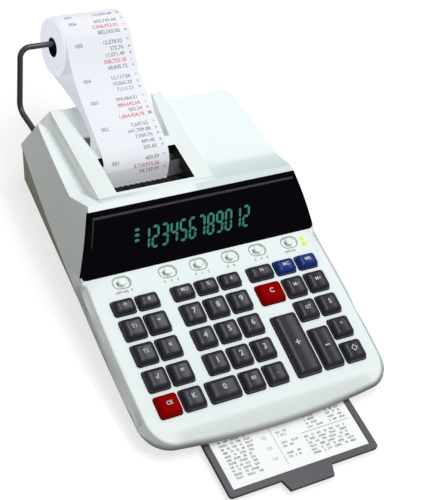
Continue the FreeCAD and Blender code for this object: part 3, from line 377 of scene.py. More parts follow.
def make_case_shade():
    tree, given, out = new_tree(
        "ShaderNodeTree", "case_shade",
        {"Colour": (0.8, 0.8, 0.8, 1), "Joint Shade": (0.3, 0.3, 0.3, 1),
         "Side Shade": (0.7, 0.7, 0.7, 1), "Slope Shade": (0.8, 0.8, 0.8, 1)},
        {"Colour": "Color"})
    place = object_place(tree)
    point = parts_of(tree, place)
    aside = reckon(tree, "ABSOLUTE", point["X"])

    def lengthwise(start, end, low=0.0, high=1.0):
        """A smooth step between two places given in millimetres from front to back."""
        return ramp(tree, point["Y"], at(0, start, 0).y, at(0, end, 0).y, low, high)

    # painted shade over the joint: high at the front, low along the sides and round the corners
    reach = lengthwise(*FRONT_TURN, JOINT_REACH["front"], JOINT_REACH["side"])
    corner = ramp(tree, aside, 0.078, 0.100, 1.0, 0.45)
    over_joint = height_over(tree, place, at(0, 0, JOINT_HEIGHT), JOINT_TILT)
    joint = ramp(tree, over_joint, 0.0, reckon(tree, "MULTIPLY", reach, corner))
    colour = shaded(tree, given["Colour"], given["Joint Shade"],
                    reckon(tree, "SUBTRACT", 1.0, joint))
    # painted shade on the side walls: below the deck, outside its edge, before the raised part
    below = ramp(tree, height_over(tree, place, on_deck(0, 0), DECK_TILT), -0.0002, -0.0009)
    outside = ramp(tree, aside, lengthwise(*FRONT_TURN, WALL_EDGE["front"], WALL_EDGE["side"]),
                   WALL_EDGE["outer"])
    colour = shaded(tree, colour, given["Side Shade"], below, outside,
                    lengthwise(*RAISED_START, 1.0, 0.0))
    # painted shade on the slope: steep faces right of the middle, between the window and the panel
    face = parts_of(tree, add(tree, "ShaderNodeNewGeometry").outputs["Normal"])
    steep = ramp(tree, reckon(tree, "ABSOLUTE", face["Y"]), 0.12, 0.26)
    right = ramp(tree, point["X"], 0.0, 0.003)
    colour = shaded(tree, colour, given["Slope Shade"], steep, right,
                    lengthwise(*SLOPE_FRONT), lengthwise(*SLOPE_REAR))
    feed(tree, out, {"Colour": colour})
    return tree


case_shade = make_case_shade()
print("group", case_shade.name, len(case_shade.nodes), "nodes")

# %% [markdown]
# One function makes every moulded finish from the groups: grain first, dust on top,
# then the Principled shader, which keeps its plain numbers on its own sockets. The cover
# takes a darker colour and a glow of its own, which evens out its shading as soft light
# from all round would.

# %% Plastics
def new_finish(name, colour=None):
    material = bpy.data.materials.new(name)
    material.use_nodes = True
    if colour:
        material.diffuse_color = colour
    return material, material.node_tree, material.node_tree.nodes["Principled BSDF"]


def colour_it(tree, shader, colour, glow=0.0):
    """Links a colour to the shader, which also glows in it with the strength given."""
    feed(tree, shader, {"Base Color": colour})
    if glow:
        feed(tree, shader, {"Emission Color": colour, "Emission Strength": glow})


def plastic(name, colour, grain=2600.0, depth=0.00002, drift=0.04, polish=0.4, dust=0.04,
            specular=0.5, shades=None, glow=0.0):
    material, tree, shader = new_finish(name, colour)
    grained = place_group(tree, moulded_grain, {
        "Colour": colour, "Grain per Metre": grain, "Grain Depth": depth, "Drift": drift,
        "Polish": polish})
    dusty = place_group(tree, desk_dust, {
        "Colour": grained, "Roughness": grained.outputs["Roughness"], "Amount": dust})
    painted = place_group(tree, case_shade, {"Colour": dusty, **shades}) if shades else dusty
    colour_it(tree, shader, painted, glow)
    feed(tree, shader, {"Roughness": dusty.outputs["Roughness"],
                        "Normal": grained.outputs["Normal"], "Specular IOR Level": specular})
    return material


# the housing's colour carries painted shade at the joint, on the side walls and on the slopes
housing = plastic("housing_white", tint(237, 243, 245), dust=0.01, polish=0.38, specular=0.35,
                  shades={"Joint Shade": (0.32, 0.31, 0.28, 1),
                          "Side Shade": (0.74, 0.74, 0.73, 1),
                          "Slope Shade": (0.79, 0.83, 0.84, 1)})
housing_low = plastic("housing_warm_grey", tint(216, 210, 198), dust=0.0, polish=0.45)
cover_finish = plastic("cover_white", tint(210, 215, 216), dust=0.01, polish=0.36, specular=0.35,
                       glow=0.26)
KEY_GRAIN = {"grain": 3400.0, "depth": 0.000006}
key_dark = plastic("key_charcoal", tint(37, 32, 47), drift=0.12, polish=0.26, dust=0.004,
                   specular=0.34, **KEY_GRAIN)
key_red = plastic("key_red", tint(144, 0, 0), drift=0.10, polish=0.4, dust=0.0,
                  specular=0.015, **KEY_GRAIN)
key_blue = plastic("key_blue", tint(10, 44, 118), drift=0.10, polish=0.22, dust=0.004,
                   specular=0.22, **KEY_GRAIN)
knob_finish = plastic("knob_white", tint(236, 240, 236), grain=3000.0, polish=0.3)
tray_finish = plastic("tray_slate", tint(86, 83, 92), grain=2400.0, depth=0.00003,
                      drift=0.08, polish=0.42, dust=0.04, specular=0.35)
rubber = plastic("foot_rubber", tint(46, 46, 48), grain=1500.0, depth=0.00004,
                 drift=0.2, polish=0.7, dust=0.2)
roller_rubber = plastic("roller_rubber", tint(28, 28, 30), grain=1800.0, polish=0.6)
felt = plastic("ink_felt", tint(40, 22, 60), grain=900.0, depth=0.00015, drift=0.3, polish=0.8)
print("plastics", len([m for m in bpy.data.materials if m.use_nodes]))

# %% [markdown]
# The display is one bar of black polished plastic. Its finish has hardly any grain, only
# faint smears that change how sharp the reflections are. Wire, printer and screws are
# metal or lacquer and share the function with other numbers.

# %% Window, metals and glass
def polished(name, colour, rough, smear_scale, smear, metallic=0.0, coat=0.0, specular=0.5,
             dust=0.02):
    material, tree, shader = new_finish(name, colour)
    smears = noise(tree, object_place(tree), Scale=smear_scale, Detail=5.0, Distortion=0.6)
    level = spread(tree, smears, To_Min=rough, To_Max=rough + smear)
    dusty = place_group(tree, desk_dust, {"Colour": colour, "Roughness": level, "Amount": dust})
    bump = add(tree, "ShaderNodeBump", {"Height": smears}, Strength=0.15, Distance=0.00002)
    feed(tree, shader, {"Base Color": dusty, "Roughness": dusty.outputs["Roughness"],
                        "Normal": bump, "Metallic": metallic, "Specular IOR Level": specular,
                        "Coat Weight": coat, "Coat Roughness": 0.03})
    return material


window_black = polished("window_black", tint(7, 5, 12), 0.12, 30.0, 0.10, specular=0.03,
                        dust=0.001)
# the paler line along the window's top edge is a painted highlight, in these two finishes
rim_highlight_finish = polished("rim_painted_highlight", tint(66, 64, 66), 0.4, 60.0, 0.10, specular=0.2)
rim_painted_highlight_soft = polished("rim_painted_highlight_soft", tint(44, 42, 45), 0.4, 60.0, 0.10, specular=0.1)
wire_black = polished("wire_black", tint(68, 67, 74), 0.26, 260.0, 0.16, metallic=0.35)
steel = polished("printer_black", tint(24, 24, 26), 0.5, 180.0, 0.2, specular=0.2)
drum_metal = polished("drum_black", tint(18, 18, 20), 0.6, 300.0, 0.2, specular=0.15)
screw_steel = polished("screw_steel", tint(150, 150, 152), 0.25, 300.0, 0.2, metallic=1.0)
tube_glass = polished("tube_glass", tint(24, 30, 30), 0.05, 40.0, 0.05, coat=0.3)


def clear_plastic():
    """Clear moulding, thin enough that light passes without bending."""
    material, tree, shader = new_finish("clear_plastic")
    haze = noise(tree, object_place(tree), Scale=300.0, Detail=4.0)
    feed(tree, shader, {"Roughness": spread(tree, haze, To_Min=0.12, To_Max=0.3),
                        "Base Color": tint(232, 228, 230), "Alpha": 0.12})
    return material


def fibre_board():
    """Green board lacquer over a faint weave."""
    material, tree, shader = new_finish("board_green")
    weave = add(tree, "ShaderNodeTexWave", {"Vector": object_place(tree)}, Scale=700.0,
                Distortion=0.4).outputs["Fac"]
    feed(tree, shader, {"Base Color": two_tones(tree, weave, tint(28, 74, 44), tint(44, 98, 58)),
                        "Roughness": 0.3})
    return material


clear, board_green = clear_plastic(), fibre_board()
print("finishes so far", len(bpy.data.materials))

# %% [markdown]
# Paper is bright but not white: short fibres make it faintly uneven and a little
# rough. The wound side of the roll shows its layers as fine rings, which are circles
# about the roll's own axis, so that finish measures the distance from that axis. Thin
# paper also lets light through from behind. A glow of its own colour stands for that and
# for brighter light than the lamps give: strong on roll and tape, weaker on the card.

# %% Paper
ROLL = {"back": 250.0, "up": 96.0, "radius": 23.0, "core": 6.5, "left": -62.0, "width": 57.0}


def times(colour, level):
    return [min(1.0, v * level) for v in colour[:3]] + [1]


def wound_layers(tree, place):
    """Noise that changes only with the distance from the roll's axis."""
    from_axis = reckon_vector(tree, "SUBTRACT", place, at(0, ROLL["back"], ROLL["up"]))
    flat = reckon_vector(tree, "MULTIPLY", from_axis, (0, 1, 1))
    far = reckon_vector(tree, "LENGTH", flat).outputs["Value"]
    return add(tree, "ShaderNodeTexNoise", {"W": far}, noise_dimensions="1D", Scale=2600.0,
               Detail=3.0)


def paper(name, colour, glow, rings=False):
    material, tree, shader = new_finish(name, colour)
    place = object_place(tree)
    height = noise(tree, place, Scale=900.0, Detail=6.0, Roughness=0.7)
    shade = two_tones(tree, height, times(colour, 0.93), colour, 0.3, 0.62)
    if rings:
        height = wound_layers(tree, place)
        shade = dimmed(tree, shade, spread(tree, height, From_Min=0.35, From_Max=0.65,
                                           To_Min=0.80, To_Max=1.0))
    bump = add(tree, "ShaderNodeBump", {"Height": height}, Strength=0.4, Distance=0.00003)
    colour_it(tree, shader, shade, glow)
    feed(tree, shader, {"Normal": bump, "Roughness": 0.75, "Specular IOR Level": 0.25})
    return material


tape_paper = paper("tape_paper", tint(193, 194, 200), 0.64)
roll_side = paper("roll_side_paper", tint(224, 228, 238), 0.84, rings=True)
card_paper = paper("card_paper", tint(226, 227, 228), 0.28)
core_card = polished("core_board", tint(20, 19, 20), 0.7, 300.0, 0.1, specular=0.1)
print("papers", tape_paper.name, roll_side.name, card_paper.name)

# %% [markdown]
# Printing ink is matt and lies unevenly. The figures of the display take the same finish with a
# glow. The lime marks beside the knobs glow faintly too, which is painted light, as they are
# print.

# %% Inks
def ink(name, colour, glow=0.0):
    material, tree, shader = new_finish(name, colour)
    patchy = noise(tree, object_place(tree), Scale=1500.0, Detail=4.0)
    colour_it(tree, shader, two_tones(tree, patchy, times(colour, 0.8), times(colour, 1.25)),
              glow)
    feed(tree, shader, {"Roughness": 0.6})
    return material


legend = ink("legend_pale", tint(192, 190, 198))
deck_ink = ink("deck_ink_grey", tint(128, 128, 122))
tape_ink = ink("tape_ink_grey", tint(150, 150, 160))
tape_red = ink("tape_ink_red", tint(222, 118, 136))
card_ink = ink("card_ink_grey", tint(118, 118, 120))
digit_glow = ink("digit_teal", tint(38, 110, 92), glow=0.4)
# the lime marks are print, so their glow is painted light
mark_lime = ink("mark_lime", tint(206, 226, 40), glow=0.15)
print("papers and inks", len(bpy.data.materials))

# %% [markdown]
# Along its sides the deck turns down in a tight rounding and then a wall that leans in;
# along the front the rounding is wider. The solid has the wide one everywhere. Each
# point of it has its own turn, from level to wall, found from its depth below the deck.

# %% Points of the rounded edge
DECK_UP = Vector((0, -math.sin(DECK_TILT), math.cos(DECK_TILT)))
CORNER = {"across": 81.2, "back": -46.5, "nearest": 18.0}
SIDE = {"inner": 93.5, "rear": 68.0, "highest": -0.05, "deepest": 3.5}
WALL_TURN = math.radians(71)
ARC_SHARE = 0.75


def between(pairs, place):
    """The value at a place, straight between the listed pairs of place and value."""
    for (a, value_a), (b, value_b) in zip(pairs, pairs[1:]):
        if a <= place <= b and b > a:
            return value_a + (value_b - value_a) * (place - a) / (b - a)
    return pairs[0][1] if place < pairs[0][0] else pairs[-1][1]


def clamped(value, low=0.0, high=1.0):
    return min(max(value, low), high)


def edge_points(shape):
    """Points of the solid's rounding: place from front to back, depth below the deck, and
    direction and distance from the centre of the front corner."""
    found = []
    for vertex in shape.verts:
        across, back = abs(vertex.co.x) / MM, vertex.co.y / MM + MIDDLE_BACK
        depth = (on_deck(0, 0) - vertex.co).dot(DECK_UP) / MM
        fan = math.atan2(CORNER["back"] - back, across - CORNER["across"])
        reach = math.hypot(across - CORNER["across"], back - CORNER["back"])
        at_side = back > CORNER["back"] and across > SIDE["inner"]
        at_corner = fan > 0 and reach > CORNER["nearest"]
        in_part = SIDE["highest"] < depth < SIDE["deepest"] and back < SIDE["rear"]
        if in_part and across > CORNER["across"] and (at_side or at_corner):
            found.append((vertex, back, depth, fan, reach))
    return found


print("centre of the front corner", CORNER["across"], CORNER["back"])

# %% [markdown]
# Each point gets the place with the same share of the turn on the new line: first a small
# arc, then the straight lean down to the joint. Round the front corners, where directions
# fan out from one centre, the change fades away, and so it does before the window.

# %% Leaning wall along the sides of the deck
REAR_FADE = {"end": 68.5, "length": 5}
CORNER_FADE = {"end": math.radians(84), "length": math.radians(72)}
SIDE_BEND = 1400  # the sides of the deck are long arcs and not quite parallel
OLD_ROUND = {"front": 4.82, "gain": 0.18, "start": -52, "length": 261}  # wider to the rear
TURN_SLACK = 0.08
LEVEL = 0.01  # a point less deep than this is still on the deck


def on_new_line(part, foot, low, start, tight):
    """How far out and how deep a point lies on the new line, which is a small arc and then
    the lean, for its part of the old turn."""
    lean = math.asin(tight / math.hypot(foot, low - tight)) + math.atan2(low - tight, foot)
    if part < ARC_SHARE:
        bend = lean * part / ARC_SHARE
        return tight * math.sin(bend), tight * (1 - math.cos(bend))
    arc_end = tight * (1 - math.cos(lean))
    depth = arc_end + (start - arc_end) * (part - ARC_SHARE) / (1 - ARC_SHARE)
    return tight * math.sin(lean) + (depth - arc_end) / math.tan(lean), depth


def lean_side(shape, tight=1.8, inward=0.8):
    found = edge_points(shape)
    rim = sorted((fan, reach) for vertex, back, depth, fan, reach in found
                 if depth < LEVEL and fan > 0)
    count = 0
    for vertex, back, depth, fan, reach in found:
        wide = (OLD_ROUND["front"]
                + OLD_ROUND["gain"] * (back - OLD_ROUND["start"]) / OLD_ROUND["length"])
        turn = math.acos(clamped(1 - depth / wide, -1.0))
        if fan > 0 and depth > LEVEL:
            far = max(reach - between(rim, fan), LEVEL)
            turn = 2 * math.atan(depth / far)
            wide = far / math.sin(turn)
        if turn > WALL_TURN + TURN_SLACK:
            continue
        low = DECK_HEIGHT - JOINT_HEIGHT + back * (math.tan(DECK_TILT) - math.tan(JOINT_TILT))
        start = wide * (1 - math.cos(WALL_TURN))
        foot = inward + wide * math.sin(WALL_TURN) + (low - start) / math.tan(WALL_TURN)
        new_out, new_depth = on_new_line(min(turn / WALL_TURN, 1.0), foot, low, start, tight)
        share = clamped((REAR_FADE["end"] - back) / REAR_FADE["length"])
        out = Vector((math.copysign(1, vertex.co.x), back / SIDE_BEND, 0))
        if fan > 0:
            share = clamped((CORNER_FADE["end"] - fan) / CORNER_FADE["length"])
            out = Vector((math.copysign(math.cos(fan), vertex.co.x), -math.sin(fan), 0))
        share = share * share * (3 - 2 * share)
        out = (out - DECK_UP * out.dot(DECK_UP)).normalized()
        vertex.co += (out * (new_out - inward - wide * math.sin(turn))
                      - DECK_UP * (new_depth - depth)) * (share * MM)
        count += 1
    return count


print("the old edge turns", round(math.degrees(WALL_TURN)), "degrees down to the wall")

# %% [markdown]
# ## The solids that keep their shape
# Case, cover and tray are right as they came, but for the side edge of the deck. A copy
# with its loose triangles joined shades smoothly; it takes the finish and stands in for
# the solid.

# %% Joined copies
def joined_copy(name, finish, body, slot, bevel=0.0, sharp=24.0, reshape=None):
    shape = bmesh.new()
    shape.from_mesh(nodes[name].data)
    bmesh.ops.remove_doubles(shape, verts=shape.verts, dist=2e-6)
    if reshape:
        print(name, "points moved", reshape(shape))
    bmesh.ops.dissolve_limit(shape, angle_limit=math.radians(0.4), verts=shape.verts,
                             edges=shape.edges)
    made = piece(name + "_skin", mesh_from(shape, name + "_skin"), body, [finish], slot, sharp)
    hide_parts(name)
    if bevel:
        rounding = made.modifiers.new("rounding", "BEVEL")
        rounding.width = bevel
        rounding.segments = 3
        rounding.limit_method = "ANGLE"
        rounding.angle_limit = math.radians(40)
    return made


for name, finish, body, slot in (
        ("upper_case", housing, "case", "housing"),
        ("lower_case", housing_low, "case", "housing_lower"),
        ("printer_cover", cover_finish, "case", "housing"),
        ("display_window", window_black, "case", "window"),
        ("reference_card", card_paper, "tray", "card")):
    made = joined_copy(name, finish, body, slot,
                       reshape=lean_side if name == "upper_case" else None)
    print(made.name, len(made.data.polygons), "faces")
joined_copy("reference_tray", tray_finish, "tray", "tray", bevel=0.5 * MM)

# %% [markdown]
# The walls of the printer's mouth lie in deep shade, where no light falls in, and that shade is
# painted: those few faces of the cover take the printer frame's black finish as a second material.

# %% Painted shade on the walls of the mouth
MOUTH = {"left": -63.0, "right": 5.0, "front": 115.0, "rear": 150.0}
MOUTH_SLACK, MOST_UPWARD = 0.3, 0.2


def repaint(made, finish, chosen):
    """Gives a second finish to the faces that a test picks by middle and direction."""
    made.data.materials.append(finish)
    count = 0
    for face in made.data.polygons:
        middle = face.center / MM + Vector((0, MIDDLE_BACK, 0))
        if chosen(middle, face.normal):
            face.material_index = len(made.data.materials) - 1
            count += 1
    return count


def in_mouth(middle, normal):
    across = MOUTH["left"] - MOUTH_SLACK < middle.x < MOUTH["right"] + MOUTH_SLACK
    along = MOUTH["front"] - MOUTH_SLACK < middle.y < MOUTH["rear"] + MOUTH_SLACK
    return across and along and normal.z < MOST_UPWARD


# painted shade: the mouth's walls take the black frame finish
print("dark faces", repaint(bpy.data.objects["printer_cover_skin"], steel, in_mouth))

# %% [markdown]
# What lies inside shows only through the printer's mouth and from below, so those solids
# keep their own meshes and only take a finish.

# %% Inner pieces
for name, finish in (("display_tube", tube_glass), ("circuit_board", board_green),
                     ("printer_frame", steel), ("print_drum", drum_metal),
                     ("ink_roller", felt), ("feed_roller", roller_rubber),
                     ("tear_bar", clear), ("feet", rubber)):
    nodes[name].data.materials.clear()
    nodes[name].data.materials.append(finish)
for number in range(1, 7):
    joined_copy("selector_knob_%d" % number, knob_finish, "selector_knob_%d_body" % number,
                "knob", bevel=0.35 * MM)
print("inner pieces and knobs dressed")

# %% [markdown]
# ## Lettering
# All print on the machine is generic: figures, signs and short common words. Each word
# is a text curve turned into a very thin solid. It could be painted in a texture, but a
# real shape stays sharp at any distance and follows the curved surfaces below it.

# %% Thin lettering
lettering_made = {}


def lettering(words, height, align="CENTER", weight=0.0):
    """Points (across, up, thickness from 0 to 1) and faces of a word, in millimetres.
    weight thickens the strokes by a share of the height."""
    key = (words, align, weight)
    if key not in lettering_made:
        curve = bpy.data.curves.new("word", "FONT")
        curve.body = words
        curve.align_x = align
        curve.align_y = "CENTER"
        curve.resolution_u = 2
        curve.offset = weight
        curve.extrude = 0.5
        mesh = as_mesh(in_scene("word", curve))
        lettering_made[key] = ([tuple(v.co) for v in mesh.vertices],
                               [tuple(p.vertices) for p in mesh.polygons])
        bpy.data.curves.remove(curve)
        bpy.data.meshes.remove(mesh)
    points, faces = lettering_made[key]
    return [(x * height, y * height, z + 0.5) for x, y, z in points], faces


print("a figure has", len(lettering("8", 5)[0]), "points")

# %% [markdown]
# Words, bars and small plates that share an ink are collected into one thin mesh. A
# function given to the collection turns their flat places into points of the machine,
# so the same words can lie on the deck, a key, the window or the curved tape.

# %% Laying print
class Print:
    """lay turns (across, up, lift) in millimetres into a point of the machine."""

    def __init__(self, lay, thick=0.05, sunk=0.03):
        self.points, self.faces, self.marks = [], [], []
        self.lay, self.thick, self.sunk = lay, thick, sunk

    def put(self, points, faces, across, up, mark=0):
        start = len(self.points)
        for x, y, share in points:
            self.points.append(self.lay(across + x, up + y, share * self.thick - self.sunk))
        self.faces += [tuple(start + i for i in face) for face in faces]
        self.marks += [mark] * len(faces)

    def word(self, words, height, across, up, align="CENTER", mark=0, weight=0.0):
        self.put(*lettering(words, height, align, weight), across, up, mark)

    def bar(self, left, right, low, high, mark=0, steps=1):
        points, faces = [], []
        for i in range(steps + 1):
            x = left + (right - left) * i / steps
            for y, share in ((low, 0), (high, 0), (high, 1), (low, 1)):
                points.append((x, y, share))
            if i:
                a, b = 4 * (i - 1), 4 * i
                faces += [(a + k, b + k, b + (k + 1) % 4, a + (k + 1) % 4) for k in range(4)]
        faces += [(0, 1, 2, 3), tuple(4 * steps + k for k in (3, 2, 1, 0))]
        self.put(points, faces, 0, 0, mark)

    def plate(self, outline, across, up, mark=0):
        """A flat shape given by its outline, anticlockwise."""
        count = len(outline)
        flat = [(x, y, share) for share in (0, 1) for x, y in outline]
        faces = [tuple(reversed(range(count))), tuple(range(count, 2 * count))]
        faces += [(i, (i + 1) % count, count + (i + 1) % count, count + i) for i in range(count)]
        self.put(flat, faces, across, up, mark)

    def finish(self, name, body, materials):
        mesh = outward(mesh_of(name, self.points, self.faces, self.marks))
        return piece(name, mesh, body, materials, sharp=30)


print("print sinks", Print(at).sunk, "mm into what carries it")

# %% [markdown]
# ## Keys
# Thirty-seven keys share one form: a pillow with leaning sides, a top that rounds over
# into them without an edge, and a shallow trough across the top for the fingertip. It is
# built as a stack of rounded rectangles, which gives clean quads where the light runs
# over the shoulders.

# %% Outline and trough of a key
KEY = {"height": 5.4, "skirt": 3.4, "lean": math.tan(math.radians(9.0)), "corner": 2.75,
       "round": 3.9, "over": 4.5, "dish": 0.4, "dish_reach": 0.72}
QUARTERS = ((1, 1), (-1, 1), (-1, -1), (1, -1))
CORNER_STEPS, SHOULDER_STEPS = 5, 8
SIDE_DISH = 0.35


def rounded_ring(half_wide, half_deep, corner, side_steps=8):
    """Points of a rounded rectangle, anticlockwise, always the same number of them."""
    corner = min(corner, half_wide * 0.98, half_deep * 0.98)
    centres = [(sx * (half_wide - corner), sy * (half_deep - corner)) for sx, sy in QUARTERS]

    def on_arc(quarter, turns):
        cx, cy = centres[quarter % 4]
        return (cx + corner * math.cos(math.radians(90 * turns)),
                cy + corner * math.sin(math.radians(90 * turns)))
    points = []
    for quarter in range(4):
        points += [on_arc(quarter, quarter + step / CORNER_STEPS)
                   for step in range(CORNER_STEPS + 1)]
        (x, y), (next_x, next_y) = points[-1], on_arc(quarter + 1, quarter + 1)
        points += [(x + (next_x - x) * step / side_steps, y + (next_y - y) * step / side_steps)
                   for step in range(1, side_steps)]
    return points


def dish_at(across, half_wide):
    """Depth of the trough: a smooth wave that ends where the shoulder begins."""
    share = min(abs(across) / (half_wide * KEY["dish_reach"]), 1.0)
    return -KEY["dish"] * math.cos(math.pi / 2 * share) ** 2


print("points in a ring", len(rounded_ring(9, 9, KEY["corner"])))

# %% [markdown]
# The rings rise from the skirt over the shoulder to the top, and there they shrink until
# strips across the last one close it. The legend is part of the same piece, printed on
# the trough.

# %% A key cap
NARROWEST_TOP, CORNER_LOSS = 1.6, 0.13


def key_stack(width, depth):
    """Rings from the skirt to the middle of the top: half width, half depth, corner, up
    and share of the dish."""
    rings = [(width / 2, depth / 2, KEY["corner"], -KEY["skirt"], 0.0),
             (width / 2, depth / 2, KEY["corner"], 0.0, 0.0)]
    shoulder = KEY["height"] - KEY["round"]
    for share in (0.35, 0.7, 1.0):
        up = shoulder * share
        rings.append((width / 2 - up * KEY["lean"], depth / 2 - up * KEY["lean"],
                      KEY["corner"], up, SIDE_DISH * share))
    edge = shoulder * KEY["lean"]
    over = min(KEY["over"], min(width, depth) / 2 - edge - NARROWEST_TOP)
    for step in range(1, SHOULDER_STEPS + 1):
        turn = math.radians(90 * step / SHOULDER_STEPS)
        inset = edge + over * (1 - math.cos(turn))
        rings.append((width / 2 - inset, depth / 2 - inset,
                      KEY["corner"] - CORNER_LOSS * step,
                      shoulder + KEY["round"] * math.sin(turn),
                      SIDE_DISH + (1 - SIDE_DISH) * step / SHOULDER_STEPS))
    inset = edge + over
    half = min(width, depth) / 2 - inset
    for share in (0.25, 0.55, 0.85):
        cut = inset + half * share
        rings.append((width / 2 - cut, depth / 2 - cut, max(1.4 * (1 - share), 0.05),
                      KEY["height"], 1.0))
    return rings


def close_top(first, count):
    """Strips across the last ring, from each point to the one facing it, so that the
    trough also holds between the sides of a wide key."""
    run = count // 4
    mirror, end = 3 * run + CORNER_STEPS, run + CORNER_STEPS
    faces = [(i, i + 1, mirror - i - 1, mirror - i) for i in range(1, end - 1)]
    faces.append(tuple(range(end - 1, mirror - end + 2)))
    faces.append((0, 1) + tuple(range(mirror - 1, count)))
    return [tuple(first + i for i in face) for face in faces]


def key_mesh(name, place, width, depth, text, size, legend_up):
    points, faces = [], []
    stack = key_stack(width, depth)
    for half_wide, half_deep, corner, up, dished in stack:
        for x, y in rounded_ring(half_wide, half_deep, corner):
            points.append(place(x, y, up + dished * dish_at(x, width / 2)))
    count = len(points) // len(stack)
    for level in range(len(stack) - 1):
        a, b = level * count, (level + 1) * count
        faces += [(a + i, a + (i + 1) % count, b + (i + 1) % count, b + i) for i in range(count)]
    faces += close_top((len(stack) - 1) * count, count)
    faces.append(tuple(reversed(range(count))))
    printed = Print(lambda x, y, lift: place(x, y, KEY["height"] + dish_at(x, width / 2) + lift),
                    thick=0.08, sunk=0.04)
    printed.word(text, size, 0, legend_up, weight=0.02)
    marks = [0] * len(faces) + [1] * len(printed.faces)
    start = len(points)
    faces += [tuple(start + i for i in face) for face in printed.faces]
    return mesh_of(name, points + printed.points, faces, marks)


print("rings in a key", len(key_stack(18.2, 17.5)))

# %% [markdown]
# Rows and columns are those of the deck. The wide column holds the long adding key, and
# the nought is wider than its neighbours.

# %% All the keys
COLUMNS = (-81.9, -61.5, -31.3, -10.4, 10.5, 38.6, 61.6, 82.5)
ROWS = {"top": 41.7, "second": 22.9, "third": 1.7, "fourth": -19.7, "fifth": -41.0}
WIDE, DEEP = {"key": 18.2, "wide": 22.1, "nought": 26.3}, {"key": 17.5, "short": 12.6}
LEGENDS = {
    "top": ("→", "#", "MU", "%", "±", "N", "MC", "MR"),
    "second": ("T1", "÷", "7", "8", "9", "C", "M−", "M+"),
    "third": ("T2", "×", "4", "5", "6", None, "GT", "S"),
    "fourth": ("√", "=", "1", "2", "3", None, None, "*"),
    "fifth": ("CE", "K", "0", "00", ".", None, None, "◇"),
}
KEY_COLOURS = {"key_second_6": (key_red, "key_red"), "key_fifth_1": (key_red, "key_red"),
               "key_top_7": (key_blue, "key_blue"), "key_top_8": (key_blue, "key_blue")}
LEGEND = {"figure": 6.4, "sign": 5.8, "word": 4.2, "wide_sign": 8.4, "up": 0.6}
openings = []


def make_key(node, across, along, width, depth, text, size, legend_up):
    openings.append((across, along, width, depth))

    def place(x, y, up):
        return on_deck(across + x, along + y, up)
    colour, slot = KEY_COLOURS.get(node, (key_dark, "key_dark"))
    mesh = key_mesh(node + "_cap", place, width, depth, text, size, legend_up)
    made = piece(node + "_cap", mesh, node + "_body", [colour, legend], slot, sharp=50)
    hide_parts(node)


for row, along in ROWS.items():
    for column, text in enumerate(LEGENDS[row], start=1):
        if text is None:
            continue
        across, width = COLUMNS[column - 1], WIDE["wide" if column == 6 else "key"]
        if (row, column) == ("fifth", 3):
            across, width = across - (WIDE["nought"] - WIDE["key"]) / 2, WIDE["nought"]
        depth = DEEP["short" if row == "top" else "key"]
        kind = "figure" if text in "0123456789" else "sign" if len(text) == 1 else "word"
        size = LEGEND["word" if row == "top" else kind]
        make_key("key_%s_%d" % (row, column), across, along, width, depth, text, size,
                 LEGEND["up"])
front = ROWS["fifth"] - DEEP["key"] / 2
for node, column, rear, width, text in (
        ("key_plus", 6, ROWS["third"] + 1.4, WIDE["wide"], "+"),
        ("key_minus", 7, ROWS["fourth"] + 5.2, WIDE["key"], "−")):
    make_key(node, COLUMNS[column - 1], (rear + front) / 2, width, rear - front, text,
             LEGEND["wide_sign"], 0.0)
print("keys", len(openings))

# %% [markdown]
# The openings of the deck have rounded corners like the caps. The solid has plain
# rectangles there, so each corner gets its small three-sided filler with a hollow face.
# One shape is worked out once and laid four times into every opening.

# %% Rounded corners of the openings
def corner_filler(radius, steps=6):
    """Outline of the filler for a corner at the origin that opens towards +x and +y."""
    arc = [math.radians(180 + 90 * i / steps) for i in range(steps + 1)]
    return [(0.0, 0.0)] + [(radius + radius * math.cos(t), radius + radius * math.sin(t))
                           for t in reversed(arc)]


def opening_corners(gap=0.4, radius=2.6, thick=2.0):
    fillers = Print(on_deck, thick=thick, sunk=thick + 0.005)
    for across, along, width, depth in openings:
        half_wide, half_deep = width / 2 + gap, depth / 2 + gap
        for sx, sy in QUARTERS:
            outline = [(-sx * x, -sy * y) for x, y in corner_filler(radius)]
            if sx * sy < 0:
                outline.reverse()
            fillers.plate(outline, across + sx * half_wide, along + sy * half_deep)
    return fillers.finish("deck_opening_corners", "case", [housing])


print("fillers", len(opening_corners().data.polygons), "faces")

# %% [markdown]
# ## Deck print
# Round every selector knob the deck carries a thin grey outline and a few figures for
# its settings. They lie flat on the deck, so their place is given along its slope.

# %% Knob scales
KNOBS = (-74.5, -35.1, -7.8, 21.1, 46.5, 76.9)
KNOB_ROW = 62.0
SCALES = (("OFF", "ON", "P"), ("F", "3", "2"), ("0", "1", "2"), ("A", "B", ""), ("5", "4", "0"),
          ("OFF", "ON", ""))
LOOP = {"half_run": 2.5, "inner": 4.7, "outer": 5.4}
SCALE_HEIGHT, SCALE_STEP, SCALE_BELOW = 3.0, 5.6, 7.9
deck_print = Print(on_deck, thick=0.05, sunk=0.02)


def loop_bar(printed, across, along, half_run, inner, outer, steps=10):
    """A thin outline like a running track round a sliding knob."""
    points, faces = [], []
    for radius in (inner, outer):
        for side in (1, -1):
            for step in range(steps + 1):
                turn = math.radians(-90 + 180 * step / steps) + (0 if side > 0 else math.pi)
                points.append((side * half_run + radius * math.cos(turn), radius * math.sin(turn)))
    count = len(points) // 2
    flat = [(x, y, share) for share in (1, 0) for x, y in points]
    for i in range(count):
        j = (i + 1) % count
        faces += [(i, j, count + j, count + i),
                  (2 * count + i, 3 * count + i, 3 * count + j, 2 * count + j),
                  (i, 2 * count + i, 2 * count + j, j),
                  (count + i, count + j, 3 * count + j, 3 * count + i)]
    printed.put(flat, faces, across, along)


